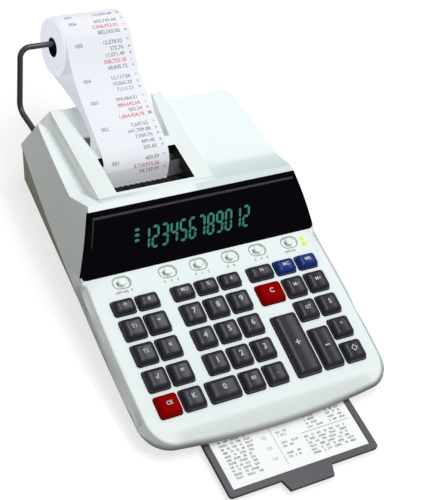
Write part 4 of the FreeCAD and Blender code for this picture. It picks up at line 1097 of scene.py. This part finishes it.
for across, words in zip(KNOBS, SCALES):
    loop_bar(deck_print, across, KNOB_ROW, **LOOP)
    for index, word in enumerate(words):
        deck_print.word(word, SCALE_HEIGHT, across + (index - 1) * SCALE_STEP,
                        KNOB_ROW - SCALE_BELOW, weight=0.03)
deck_print.finish("deck_print", "case", [deck_ink])
print("knob scales", len(KNOBS))

# %% [markdown]
# Right of the last knob, two lime marks, a disc and a wedge, tell which of its settings is on.
# They are plates of the same thin print, and their faint glow is painted light.

# %% Lime marks
DISC_AT, WEDGE_AT = (89.4, 62.8), (90.1, 57.9)
HALF_ACROSS, HALF_ALONG, SIDES = 1.7, 1.9, 32
marks = Print(on_deck, thick=0.06, sunk=0.02)
disc = [(HALF_ACROSS * math.cos(2 * math.pi * i / SIDES),
         HALF_ALONG * math.sin(2 * math.pi * i / SIDES)) for i in range(SIDES)]
wedge = [(2.9, -0.2), (2.6, 0.4), (-2.0, 2.5), (-2.7, 2.2), (-2.7, -2.2), (-2.0, -2.5),
         (2.6, -0.8)]
marks.plate(disc, *DISC_AT)
marks.plate(wedge, *WEDGE_AT)
marks.finish("lamp_marks", "case", [mark_lime])
print("lime marks have", len(marks.faces), "faces")

# %% [markdown]
# ## Display
# Twelve slanted figures of seven strokes shine behind the black window. They are laid
# onto the curved face by casting a ray at it from in front, which keeps them on the
# surface whatever its bulge.

# %% Places on the window
FOOT_BACK = 69.4
FOOT = Vector((0, FOOT_BACK, DECK_HEIGHT + FOOT_BACK * math.tan(DECK_TILT)))
TOP = Vector((0, 102.8, 71.2))
RUN = (TOP - FOOT).normalized()
OUTWARD = Vector((0, -RUN.z, RUN.y))
AWAY = 20
window_faces = BVHTree.FromObject(bpy.data.objects["display_window_skin"],
                                  bpy.context.evaluated_depsgraph_get())


def on_window(across, up, lift):
    point = FOOT + RUN * up
    start = at(across, point.y, point.z) + OUTWARD * AWAY * MM
    hit = window_faces.ray_cast(start, -OUTWARD)[0]
    return (hit if hit else start - OUTWARD * AWAY * MM) + OUTWARD * lift * MM


print("middle of the window", [round(v, 4) for v in on_window(0, 22, 0)])

# %% [markdown]
# Each stroke is a long plate with a point at either end. A table says which strokes make
# a figure, as in the real display.

# %% Figures of the display
STROKES = {"0": "abcdef", "1": "bc", "2": "abged", "3": "abgcd", "4": "fgbc", "5": "afgcd",
           "6": "afgedc", "7": "abc", "8": "abcdefg", "9": "gfabcd", "=": "agd"}
SHOWN = "123456789012"
PITCH, FIRST, LOW, LEAN = 8.14, -51.7, 14.4, 0.16
GAP_SHARE, POINT_SHARE = 0.16, 0.62
display_print = Print(on_window, thick=0.06, sunk=0.02)


def figure(sign, left, low, wide, tall, stroke):
    ends = {"a": ((0, tall), (wide, tall)), "g": ((0, tall / 2), (wide, tall / 2)),
            "d": ((0, 0), (wide, 0)), "f": ((0, tall / 2), (0, tall)),
            "b": ((wide, tall / 2), (wide, tall)), "e": ((0, 0), (0, tall / 2)),
            "c": ((wide, 0), (wide, tall / 2))}
    for name in STROKES[sign]:
        start, end = Vector(ends[name][0]), Vector(ends[name][1])
        along = (end - start).normalized()
        side = Vector((-along.y, along.x)) * stroke / 2
        gap, point = stroke * GAP_SHARE, stroke * POINT_SHARE
        shape = [start + along * gap, start + along * point + side, end - along * point + side,
                 end - along * gap, end - along * point - side, start + along * point - side]
        display_print.plate([(p.x + p.y * LEAN, p.y) for p in reversed(shape)], left, low)


for index, sign in enumerate(SHOWN):
    figure(sign, FIRST + index * PITCH, LOW, wide=4.9, tall=15.2, stroke=1.9)
figure("=", -58.4, LOW + 7.4, wide=5.0, tall=8.0, stroke=2.1)
display_print.finish("display_figures", "case", [digit_glow])
print("figures", len(SHOWN) + 1)

# %% [markdown]
# The top edge of the window catches a thin paler line of light, softer at its rims, and the left
# end a short faint one that runs down. Both are painted highlights: thin paler plates laid onto
# the window.

# %% Painted highlights of the window
HALF_LINE = 89.4
LINE_LEVELS = ((43.2, 43.7, 1), (43.7, 44.7, 0), (44.7, 45.2, 1))
END_LINE = {"top": 43.4, "left": -89.0, "lean": 0.24, "length": 20, "upper": 0.75,
            "lower": 0.5}
# thin paler plates that carry the painted highlight
rim = Print(on_window, thick=0.16, sunk=0.05)
for low_edge, high_edge, mark in LINE_LEVELS:
    rim.bar(-HALF_LINE, HALF_LINE, low_edge, high_edge, mark, steps=40)
for step in range(END_LINE["length"]):
    down, left = END_LINE["top"] - step, END_LINE["left"] - END_LINE["lean"] * step
    upper, lower = END_LINE["upper"], END_LINE["lower"]
    rim.plate([(left - upper, down), (left - lower, down - 1.0), (left + lower, down - 1.0),
               (left + upper, down)], 0, 0, 1)
rim.finish("window_rim_line", "case", [rim_highlight_finish, rim_painted_highlight_soft])
print("rim plates", len(rim.faces))

# %% [markdown]
# ## Paper
# The tape leaves the roll underneath, dips into the printer, turns round the feed
# roller, comes up past the tear bar and lies back over the roll. A smooth curve through
# points on that route gives the line, and the ribbon is swept along it by hand so that
# print can be laid at any distance along it.

# %% The tape's line
def ring_points(back, up, radius, first, last, step=12.0):
    count = max(1, round(abs(last - first) / step))
    turns = [math.radians(first + (last - first) * i / count) for i in range(count + 1)]
    return [(back + radius * math.cos(t), up + radius * math.sin(t)) for t in turns]


REACH = ROLL["radius"] + 0.45
FEEDER = {"back": 142.0, "up": 44.0, "radius": 6.45}
# from under the roll to the printer and down into it
route = ring_points(ROLL["back"], ROLL["up"], REACH, -84, -100)
route += [(222.0, 77.3), (200.0, 80.0), (181.3, 79.6), (170.9, 75.5), (165.75, 67.3),
          (155.6, 51.0)]
# round the feed roller, up past the tear bar and back to the roll
route += ring_points(FEEDER["back"], FEEDER["up"], FEEDER["radius"], -38, -185)
route += [(136.1, 50.8), (138.0, 61.5), (141.3, 69.7), (147.6, 75.6), (161.0, 80.5),
          (180.0, 85.9), (198.0, 91.4), (212.5, 97.8), (227.2, 107.9)]
# over the roll, with a short free end
route += ring_points(ROLL["back"], ROLL["up"], REACH, 128, 60)
route.append((route[-1][0] + 3.3, route[-1][1] - 1.9))


def smooth_line(points, resolution=8):
    curve = bpy.data.curves.new("line", "CURVE")
    curve.dimensions = "3D"
    curve.resolution_u = resolution
    spline = curve.splines.new("BEZIER")
    spline.bezier_points.add(len(points) - 1)
    for knot, (back, up) in zip(spline.bezier_points, points):
        knot.co = (0, back, up)
        knot.handle_left_type = knot.handle_right_type = "AUTO"
    mesh = as_mesh(in_scene("line", curve))
    line = [v.co.copy() for v in mesh.vertices]
    bpy.data.curves.remove(curve)
    bpy.data.meshes.remove(mesh)
    return line


tape_line = smooth_line(route)
travel = [0.0]
for one, other in zip(tape_line, tape_line[1:]):
    travel.append(travel[-1] + (other - one).length)


def along_tape(distance):
    """Point and outward direction of the tape at a distance along it."""
    distance = clamped(distance, 0.0, travel[-1] - 1e-6)
    index = max(i for i, gone in enumerate(travel[:-1]) if gone <= distance)
    share = (distance - travel[index]) / (travel[index + 1] - travel[index])
    point = tape_line[index].lerp(tape_line[index + 1], share)
    heading = (tape_line[index + 1] - tape_line[index]).normalized()
    return point, Vector((0, -heading.z, heading.y))


print("tape line", len(tape_line), "points,", round(travel[-1], 1), "mm")

# %% [markdown]
# The ribbon is a hair thicker than real paper, and its free edges bow by a few tenths of a
# millimetre, as paper from a roll does.

# %% The ribbon
TAPE = {"left": -60.5, "width": 57.0, "thick": 0.14, "bow": 0.03, "bow_length": 17.0}
ARM_START, ARM_END = at(0, 152.0, 78.0), at(0, 232.0, 100.0)


def ribbon(columns=8):
    points, faces = [], []
    for index, point in enumerate(tape_line):
        normal = along_tape(travel[index])[1]
        for side in (1, -1):
            for column in range(columns + 1):
                share = column / columns
                bow = (TAPE["bow"] * (2 * share - 1) ** 4
                       * math.sin(travel[index] / TAPE["bow_length"]))
                place = point + normal * (side * TAPE["thick"] / 2 + bow)
                points.append(at(TAPE["left"] + TAPE["width"] * share, place.y, place.z))
    wide = columns + 1
    for row in range(len(tape_line) - 1):
        a, b = row * 2 * wide, (row + 1) * 2 * wide
        for column in range(columns):
            faces.append((a + column, a + column + 1, b + column + 1, b + column))
            faces.append((a + wide + column + 1, a + wide + column,
                          b + wide + column, b + wide + column + 1))
        faces.append((a + columns, a + wide + columns, b + wide + columns, b + columns))
        faces.append((a + wide, a, b, b + wide))
    last = (len(tape_line) - 1) * 2 * wide
    for column in range(columns):
        faces.append((column + 1, column, wide + column, wide + column + 1))
        faces.append((last + column, last + column + 1, last + wide + column + 1,
                      last + wide + column))
    return outward(mesh_of("paper_ribbon", points, faces))


tape = piece("paper_ribbon", ribbon(), None, [tape_paper], "paper", sharp=50)
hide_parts("paper_tape")
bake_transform(tape)
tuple(ARM_START)
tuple(ARM_END)
print("ribbon", len(tape.data.polygons), "faces")

# %% [markdown]
# The print is a column of sums: grey figures set to the right, red where a number was
# taken away or stored, a count at the left of each sum and a gap after it. A fixed seed
# keeps the numbers the same at every run.

# %% Print on the tape
def on_tape(across, along, lift):
    point, normal = along_tape(along)
    place = point + normal * (TAPE["thick"] / 2 + lift)
    return at(TAPE["left"] + across, place.y, place.z)


numbers = random.Random(7)
tape_print = Print(on_tape, thick=0.14, sunk=0.04)
MOUTH_BACK, MOUTH_UP, INSIDE = 137.6, 60.0, 150.0
mouth_at = min((i for i, point in enumerate(tape_line) if point.z > MOUTH_UP
                and travel[i] > INSIDE), key=lambda i: abs(tape_line[i].y - MOUTH_BACK))
GROUPS = (("+", "-", "*"), ("+", "x", "=", "+", "*"), ("M", "+", "-", "*"), ("+", "+", "*"),
          ("+", "-", "+", "+", "*"), ("+", "-", "*"), ("%", "+"))
HEIGHT, LINE_STEP, GROUP_GAP = 4.4, 5.0, 3.4
VALUE_RIGHT, SIGN_MIDDLE, COUNT_LEFT, WEIGHT = 48.0, 53.0, 7.0, 0.02
RED_SIZES, GREY_SIZES = (610000, 2400000), (260, 9350, 48200, 516000)
along, tape_end = travel[mouth_at] + 3.0, travel[-1] - 8.0
sums = 0
while along < tape_end:
    for sign in GROUPS[sums % len(GROUPS)]:
        if along > tape_end:
            break
        red = sign in "-M"
        value = numbers.choice(RED_SIZES if red else GREY_SIZES) * numbers.uniform(0.7, 2.0)
        for words, across, align in (("{:,.2f}".format(value), VALUE_RIGHT, "RIGHT"),
                                     (sign, SIGN_MIDDLE, "CENTER")):
            tape_print.word(words, HEIGHT, across, along, align, int(red), WEIGHT)
        along += LINE_STEP
    sums += 1
    tape_print.word("%03d" % sums, HEIGHT, COUNT_LEFT, along - LINE_STEP, "LEFT", 0, WEIGHT)
    along += GROUP_GAP
printed = tape_print.finish("tape_print", None, [tape_ink, tape_red])
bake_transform(printed)
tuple(ARM_START)
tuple(ARM_END)
print("sums on the tape", sums)

# %% [markdown]
# The roll is turned like wood on a lathe: a section of a few points, swept about the
# axis. Its side is slightly uneven because layers slip sideways as they are wound, and a
# thin board tube lines the hole.

# %% The roll
def turned(section, back, up, steps=96):
    """A closed ring of (across, radius, mark) points swept about an axis that runs across."""
    points, faces = [], []
    count = len(section)
    for step in range(steps):
        turn = 2 * math.pi * step / steps
        for across, radius, _ in section:
            points.append(at(across, back + radius * math.cos(turn), up + radius * math.sin(turn)))
    for step in range(steps):
        a, b = step * count, (step + 1) % steps * count
        faces += [(a + i, b + i, b + (i + 1) % count, a + (i + 1) % count)
                  for i in range(count)]
    return points, faces, [mark for _, _, mark in section] * steps


left, right = ROLL["left"], ROLL["left"] + ROLL["width"]
TUBE = ROLL["core"] + 1.3  # the board tube's outer radius
LAYERS, LAYER_STEP, SLIP = 16, 0.9, 0.22
slip = random.Random(3)
section = [(left + 0.1, ROLL["core"], 1), (left + 0.1, TUBE, 0)]
section += [(left + slip.uniform(0.0, SLIP), ROLL["core"] + 1.6 + LAYER_STEP * i, 0)
            for i in range(LAYERS)]
section += [(left, ROLL["radius"] - 0.25, 0), (left + 0.2, ROLL["radius"], 2),
            (right - 0.2, ROLL["radius"], 0)]
section += [(right - slip.uniform(0.0, SLIP), ROLL["radius"] - 0.4 - LAYER_STEP * i, 0)
            for i in range(LAYERS)]
section += [(right - 0.1, TUBE, 1), (right - 0.1, ROLL["core"], 1)]
roll_mesh = outward(mesh_of("paper_roll_wound", *turned(section, ROLL["back"], ROLL["up"])))
roll = piece("paper_roll_wound", roll_mesh, "roll", [roll_side, core_card, tape_paper], "paper")
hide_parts("paper_roll")
print("roll faces", len(roll_mesh.polygons))

# %% [markdown]
# ## The wire arm
# A bent wire and a row of screws are shapes that follow a rule, and Geometry Nodes say
# just that rule. Every such tree ends in the same way: copies become real and take a
# finish. Its result is kept as a plain mesh, because an export drops the tree.

# %% Growing a piece from a tree
def end_tree(tree, out, geometry, finish):
    """The end of every tree: copies made real, and a finish."""
    real = add(tree, "GeometryNodeRealizeInstances", {"Geometry": geometry})
    coat = add(tree, "GeometryNodeSetMaterial", {"Geometry": real, "Material": finish})
    feed(tree, out, {"Geometry": coat})
    return tree


def stored(tree, name, kind):
    return add(tree, "GeometryNodeInputNamedAttribute", {"Name": name}, data_type=kind)


def grown(name, source, tree, values, body, slot=None, sharp=35.0):
    """Runs a tree on a source mesh and keeps the result as a plain piece."""
    holder = in_scene(name + "_source", source)
    modifier = holder.modifiers.new("grow", "NODES")
    modifier.node_group = tree
    sockets = {item.name: item.identifier for item in tree.interface.items_tree
               if item.item_type == "SOCKET" and item.in_out == "INPUT"}
    for label, value in values.items():
        modifier[sockets[label]] = value
    return piece(name, as_mesh(holder), body, [], slot, sharp)


# %% [markdown]
# The wire is a chain of straight runs, an arc of a given radius at every bend and a round
# section all along. The bend radius is stored on each corner, and the wire's own radius
# is a named input.

# %% Bent wire
def bent_wire_tree():
    tree, given, out = new_tree(
        "GeometryNodeTree", "bent_wire",
        {"Geometry": "Geometry", "Wire Radius": "Float", "Finish": "Material"},
        {"Geometry": "Geometry"})
    line = add(tree, "GeometryNodeMeshToCurve", {"Mesh": given["Geometry"]})
    arcs = add(tree, "GeometryNodeFilletCurve",
               {"Curve": line, "Radius": stored(tree, "bend", "FLOAT").outputs["Attribute"],
                "Count": 10}, mode="POLY")
    section = add(tree, "GeometryNodeCurvePrimitiveCircle", {"Radius": given["Wire Radius"]},
                  mode="RADIUS", Resolution=28)
    swept = add(tree, "GeometryNodeCurveToMesh",
                {"Curve": arcs, "Profile Curve": section, "Fill Caps": True})
    return end_tree(tree, out, swept, given["Finish"])


WIRE_RADIUS = 2.25
AXLE_UP = ROLL["up"] + ROLL["core"] - WIRE_RADIUS - 0.3
# across, back, up and the radius of the bend there
corners = [(-64.0, 197.5, 51.5, 0.0), (-86.5, 197.5, 51.5, 5.0), (-90.0, 231.0, 52.0, 10.0),
           (-90.0, 250.0, AXLE_UP, 8.0), (-2.0, 250.0, AXLE_UP, 0.0)]
wire_source = bpy.data.meshes.new("wire_corners")
wire_source.from_pydata([at(*corner[:3]) for corner in corners], [(i, i + 1) for i in range(4)],
                        [])
bends = wire_source.attributes.new("bend", "FLOAT", "POINT")
bends.data.foreach_set("value", [corner[3] * MM for corner in corners])
wire = grown("roll_arm_wire", wire_source, bent_wire_tree(),
             {"Wire Radius": WIRE_RADIUS * MM, "Finish": wire_black}, "arm", "wire", sharp=50)
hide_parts("roll_arm")
print("wire faces", len(wire.data.polygons))

# %% [markdown]
# ## Small repeated parts
# Four screws hold the lower case from below, and rings of raised type stand round the
# print drum. Both are one small shape placed many times, which is what instancing is
# for; the copies are made real at the end.

# %% Instances on points
def scatter_tree():
    """Puts one shape on every point, turned by the point's own rotation attribute."""
    tree, given, out = new_tree(
        "GeometryNodeTree", "placed_copies",
        {"Geometry": "Geometry", "Shape": "Object", "Size": "Float", "Finish": "Material"},
        {"Geometry": "Geometry"})
    shape = add(tree, "GeometryNodeObjectInfo", {"Object": given["Shape"]})
    rotation = add(tree, "FunctionNodeEulerToRotation",
                   {"Euler": stored(tree, "turn", "FLOAT_VECTOR").outputs["Attribute"]})
    copies = add(tree, "GeometryNodeInstanceOnPoints",
                 {"Points": given["Geometry"], "Instance": shape.outputs["Geometry"],
                  "Rotation": rotation, "Scale": given["Size"]})
    return end_tree(tree, out, copies, given["Finish"])


placed_copies = scatter_tree()


def scattered(name, places, turns, shape_mesh, finish, body, slot=None):
    source = bpy.data.meshes.new(name + "_points")
    source.from_pydata([tuple(p) for p in places], [], [])
    turned_by = source.attributes.new("turn", "FLOAT_VECTOR", "POINT")
    turned_by.data.foreach_set("vector", [v for turn in turns for v in turn])
    shape = in_scene(name + "_shape", shape_mesh)
    made = grown(name, source, placed_copies, {"Shape": shape, "Size": 1.0, "Finish": finish},
                 body, slot)
    bpy.data.objects.remove(shape)
    return made


print("tree", placed_copies.name, len(placed_copies.nodes), "nodes")

# %% [markdown]
# A pan head screw with a cross recess: a turned dome whose flat top has a hole in the
# form of a cross. The top is filled between its rim and the cross, and walls go down
# from there to a smaller cross, so nothing needs to be cut.

# %% Screws below
def screw_mesh(radius=2.9, high=1.7, slot_half=0.45, slot_reach=1.7, slot_deep=0.9):
    shape = bmesh.new()
    steps = 32
    rings = []
    for share, level in ((1.0, 0.0), (1.0, 0.45), (0.95, 0.75), (0.82, 0.94), (0.66, 1.0)):
        rings.append([shape.verts.new((radius * share * math.cos(2 * math.pi * i / steps),
                                       radius * share * math.sin(2 * math.pi * i / steps),
                                       high * level)) for i in range(steps)])
    for lower, upper in zip(rings, rings[1:]):
        for i in range(steps):
            j = (i + 1) % steps
            shape.faces.new((lower[i], lower[j], upper[j], upper[i]))
    shape.faces.new(list(reversed(rings[0])))
    a, b = slot_half, slot_reach
    cross = [(a, a), (a, b), (-a, b), (-a, a), (-b, a), (-b, -a), (-a, -a), (-a, -b),
             (a, -b), (a, -a), (b, -a), (b, a)]
    top = [shape.verts.new((x, y, high)) for x, y in cross]
    low = [shape.verts.new((x * 0.8, y * 0.8, high - slot_deep)) for x, y in cross]
    edges = [shape.edges.get((one, other)) for one, other
             in zip(rings[-1], rings[-1][1:] + rings[-1][:1])]
    edges += [shape.edges.new((one, other)) for one, other in zip(top, top[1:] + top[:1])]
    bmesh.ops.triangle_fill(shape, edges=edges, use_beauty=True)
    for i in range(len(cross)):
        j = (i + 1) % len(cross)
        shape.faces.new((top[i], top[j], low[j], low[i]))
    shape.faces.new(low)
    bmesh.ops.scale(shape, vec=(MM, MM, MM), verts=shape.verts)
    bmesh.ops.recalc_face_normals(shape, faces=shape.faces)
    return mesh_from(shape, "screw_head")


SCREW_SEAT = 4.4
screw_places = [at(x, y, SCREW_SEAT) for x, y in ((-82, -18), (82, -18), (-78, 150), (78, 150))]
scattered("case_screws", screw_places, [(math.pi, 0, 0.4 * i) for i in range(4)], screw_mesh(),
          screw_steel, "case")
print("screws", len(screw_places))

# %% [markdown]
# The type on the drum: thirteen columns of small raised blocks, fourteen to a turn.

# %% Type on the drum
BLOCK = {"across": 2.2, "round": 1.7, "high": 0.5, "taper": 0.8}


def type_block():
    shape = bmesh.new()
    bmesh.ops.create_cube(shape, size=1.0)
    for vertex in shape.verts:
        top = BLOCK["taper"] if vertex.co.z > 0 else 1.0
        vertex.co = Vector((vertex.co.x * BLOCK["across"] * top,
                            vertex.co.y * BLOCK["round"] * top,
                            (vertex.co.z + 0.5) * BLOCK["high"])) * MM
    return mesh_from(shape, "type_block")


DRUM = {"back": 124.5, "up": 51.5, "radius": 9.0, "sunk": 0.12, "first": -57.75, "pitch": 4.7,
        "columns": 13, "signs": 14}
reach = DRUM["radius"] - DRUM["sunk"]
type_places, type_turns = [], []
for column in range(DRUM["columns"]):
    across = DRUM["first"] + column * DRUM["pitch"]
    for step in range(DRUM["signs"]):
        turn = 2 * math.pi * step / DRUM["signs"]
        type_places.append(at(across, DRUM["back"] + reach * math.sin(turn),
                              DRUM["up"] + reach * math.cos(turn)))
        type_turns.append((-turn, 0, 0))
scattered("drum_type", type_places, type_turns, type_block(), drum_metal, "drum", "drum")
print("type blocks", len(type_places))

# %% [markdown]
# ## The card in the tray
# The card carries a table of figures in fine grey print. Blocks of small numbers and two
# ruled lines give the same texture without being any real document.

# %% Card print
low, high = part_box("reference_card")


def on_card(across, along, lift):
    """Across from the card's left edge, along from its front edge."""
    return Vector((low.x + across * MM, low.y + along * MM, high.z + lift * MM))


# lines, place and step of the lines, height of the figures, and the runs of figures in each
# line with their left and right end and their shift along the card
BLOCKS = ((11, 7.0, 3.0, 2.6, ((6.0, 34.0, 0.0),)),
          (3, 10.0, 9.0, 2.4, ((53.0, 68.0, 0.0), (53.0, 68.0, 3.0))),
          (6, 6.5, 2.9, 2.6, ((73.0, 116.0, 0.0),)),
          (4, 27.5, 3.1, 2.5, ((80.0, 96.0, 0.0), (100.0, 116.0, 0.0))),
          (1, 42.0, 0.0, 2.6, ((6.0, 46.0, 0.0),)))
LABELS = {"across": 42.0, "first": 12.0, "step": 9.0, "height": 3.4, "count": 3}
RULES = ((49.6, 49.9, 5.0, 42.0), (72.0, 116.0, 24.5, 24.9))
card_print = Print(on_card, thick=0.05, sunk=0.02)
figures = random.Random(11)


def number_row(left, right, along, height):
    across = left
    while across < right - height * 2:
        words = str(figures.randint(1, 10 ** figures.randint(2, 5)))
        card_print.word(words, height, across, along, "LEFT", weight=0.03)
        across += height * 0.62 * len(words) + height * 0.6


for lines, first, step, height, runs in BLOCKS:
    for line in range(lines):
        for left, right, shift in runs:
            number_row(left, right, first + shift + line * step, height)
for line in range(LABELS["count"]):
    card_print.word("123", LABELS["height"], LABELS["across"],
                    LABELS["first"] + line * LABELS["step"])
for rule in RULES:
    card_print.bar(*rule)
card_print.finish("card_print", "tray", [card_ink])
print("card print faces", len(card_print.faces))

# %% [markdown]
# ## Floor, light and camera
# A pale floor that fades to white behind the machine, a broad soft lamp overhead and to
# the right, which leaves the left wall in shade, a smaller one behind it that draws the
# edges, and an even sky. The lamps are faintly blue and the sky faintly warm, as daylight
# and a room's walls are.

# %% Floor
FLOOR_RADIUS = 4.0


def make_floor():
    shape = bmesh.new()
    bmesh.ops.create_circle(shape, cap_ends=True, radius=FLOOR_RADIUS, segments=64)
    material, tree, shader = new_finish("floor_white")
    seen = add(tree, "ShaderNodeLightPath").outputs["Is Camera Ray"]
    feed(tree, shader, {"Roughness": 0.9, "Base Color": mixed(
        tree, seen, (0.15, 0.15, 0.148, 1), (0.36, 0.36, 0.36, 1))})
    glow = add(tree, "ShaderNodeMixShader",
               {"Fac": seen, 1: add(tree, "ShaderNodeEmission", Strength=0.0),
                2: add(tree, "ShaderNodeEmission", Strength=0.7)})
    both = add(tree, "ShaderNodeAddShader", {0: shader, 1: glow})
    feed(tree, tree.nodes["Material Output"], {"Surface": both})
    mesh = mesh_from(shape, "floor")
    mesh.materials.append(material)
    floor = in_scene("floor", mesh)
    floor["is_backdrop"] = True
    return floor


floor = make_floor()
world = bpy.data.worlds.new("studio")
world.use_nodes = True
bpy.context.scene.world = world
tree = world.node_tree
sky = feed(tree, tree.nodes["Background"], {"Color": (1.0, 0.975, 0.90, 1), "Strength": 0.43})
backdrop = add(tree, "ShaderNodeBackground", Color=(1, 1, 1, 1), Strength=1.0)
seen = add(tree, "ShaderNodeLightPath").outputs["Is Camera Ray"]
pick = add(tree, "ShaderNodeMixShader", {"Fac": seen, 1: sky, 2: backdrop})
feed(tree, tree.nodes["World Output"], {"Surface": pick})
print("floor", floor.name, "and sky", world.name)

# %% [markdown]
# A lamp is a glowing disc. A large one gives soft edges to the shadows, a small one
# sharper gleams, and a function turns each disc to face the machine.

# %% Lamps
DAYLIGHT = (0.92, 0.985, 1.0)


def lamp(name, place, power, size):
    light = bpy.data.lights.new(name, "AREA")
    light.energy = power
    light.shape = "DISK"
    light.size = size
    light.color = DAYLIGHT
    made = in_scene(name, light)
    made.location = place
    target = Vector((0, 0, 0.03))
    made.rotation_euler = (target - Vector(place)).to_track_quat("-Z", "Y").to_euler()
    return made


lamps = [lamp("overhead_lamp", (0.22, -0.13, 1.27), 8.3, 0.9),
         lamp("window_lamp", (0.34, 0.30, 1.00), 2.4, 0.35)]
print("lamps", len(lamps))

# %% [markdown]
# The camera stands where the photograph was taken from: to the left, in front and well
# above, turned on its own axis by about 23 degrees, so that the machine leans in the frame.

# %% Camera
EYE = at(-481.989, -419.515, 775.959)
RIGHT = Vector((0.852142, -0.45109, 0.265277))
UP = Vector((0.201317, 0.750485, 0.629479))
LOOK = Vector((0.483038, 0.483001, -0.730332))
turn = Matrix((RIGHT, UP, -LOOK)).transposed().to_4x4()
camera_data = bpy.data.cameras.new("camera")
camera_data.lens = 93.84
camera_data.sensor_width = 36.0
camera_data.clip_start, camera_data.clip_end = 0.02, 20.0
camera = in_scene("camera", camera_data)
camera.matrix_world = Matrix.Translation(EYE) @ turn
bpy.context.scene.camera = camera
bpy.context.scene.view_settings.view_transform = "Standard"
print("camera at", [round(v, 3) for v in EYE])

# %% [markdown]
# Last, the size of the dressed machine is written beside that of the bare solids.

# %% Size of the dressed machine
dressed_box = [list(corner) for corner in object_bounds()]
print("dressed box", [[round(v, 4) for v in corner] for corner in dressed_box])
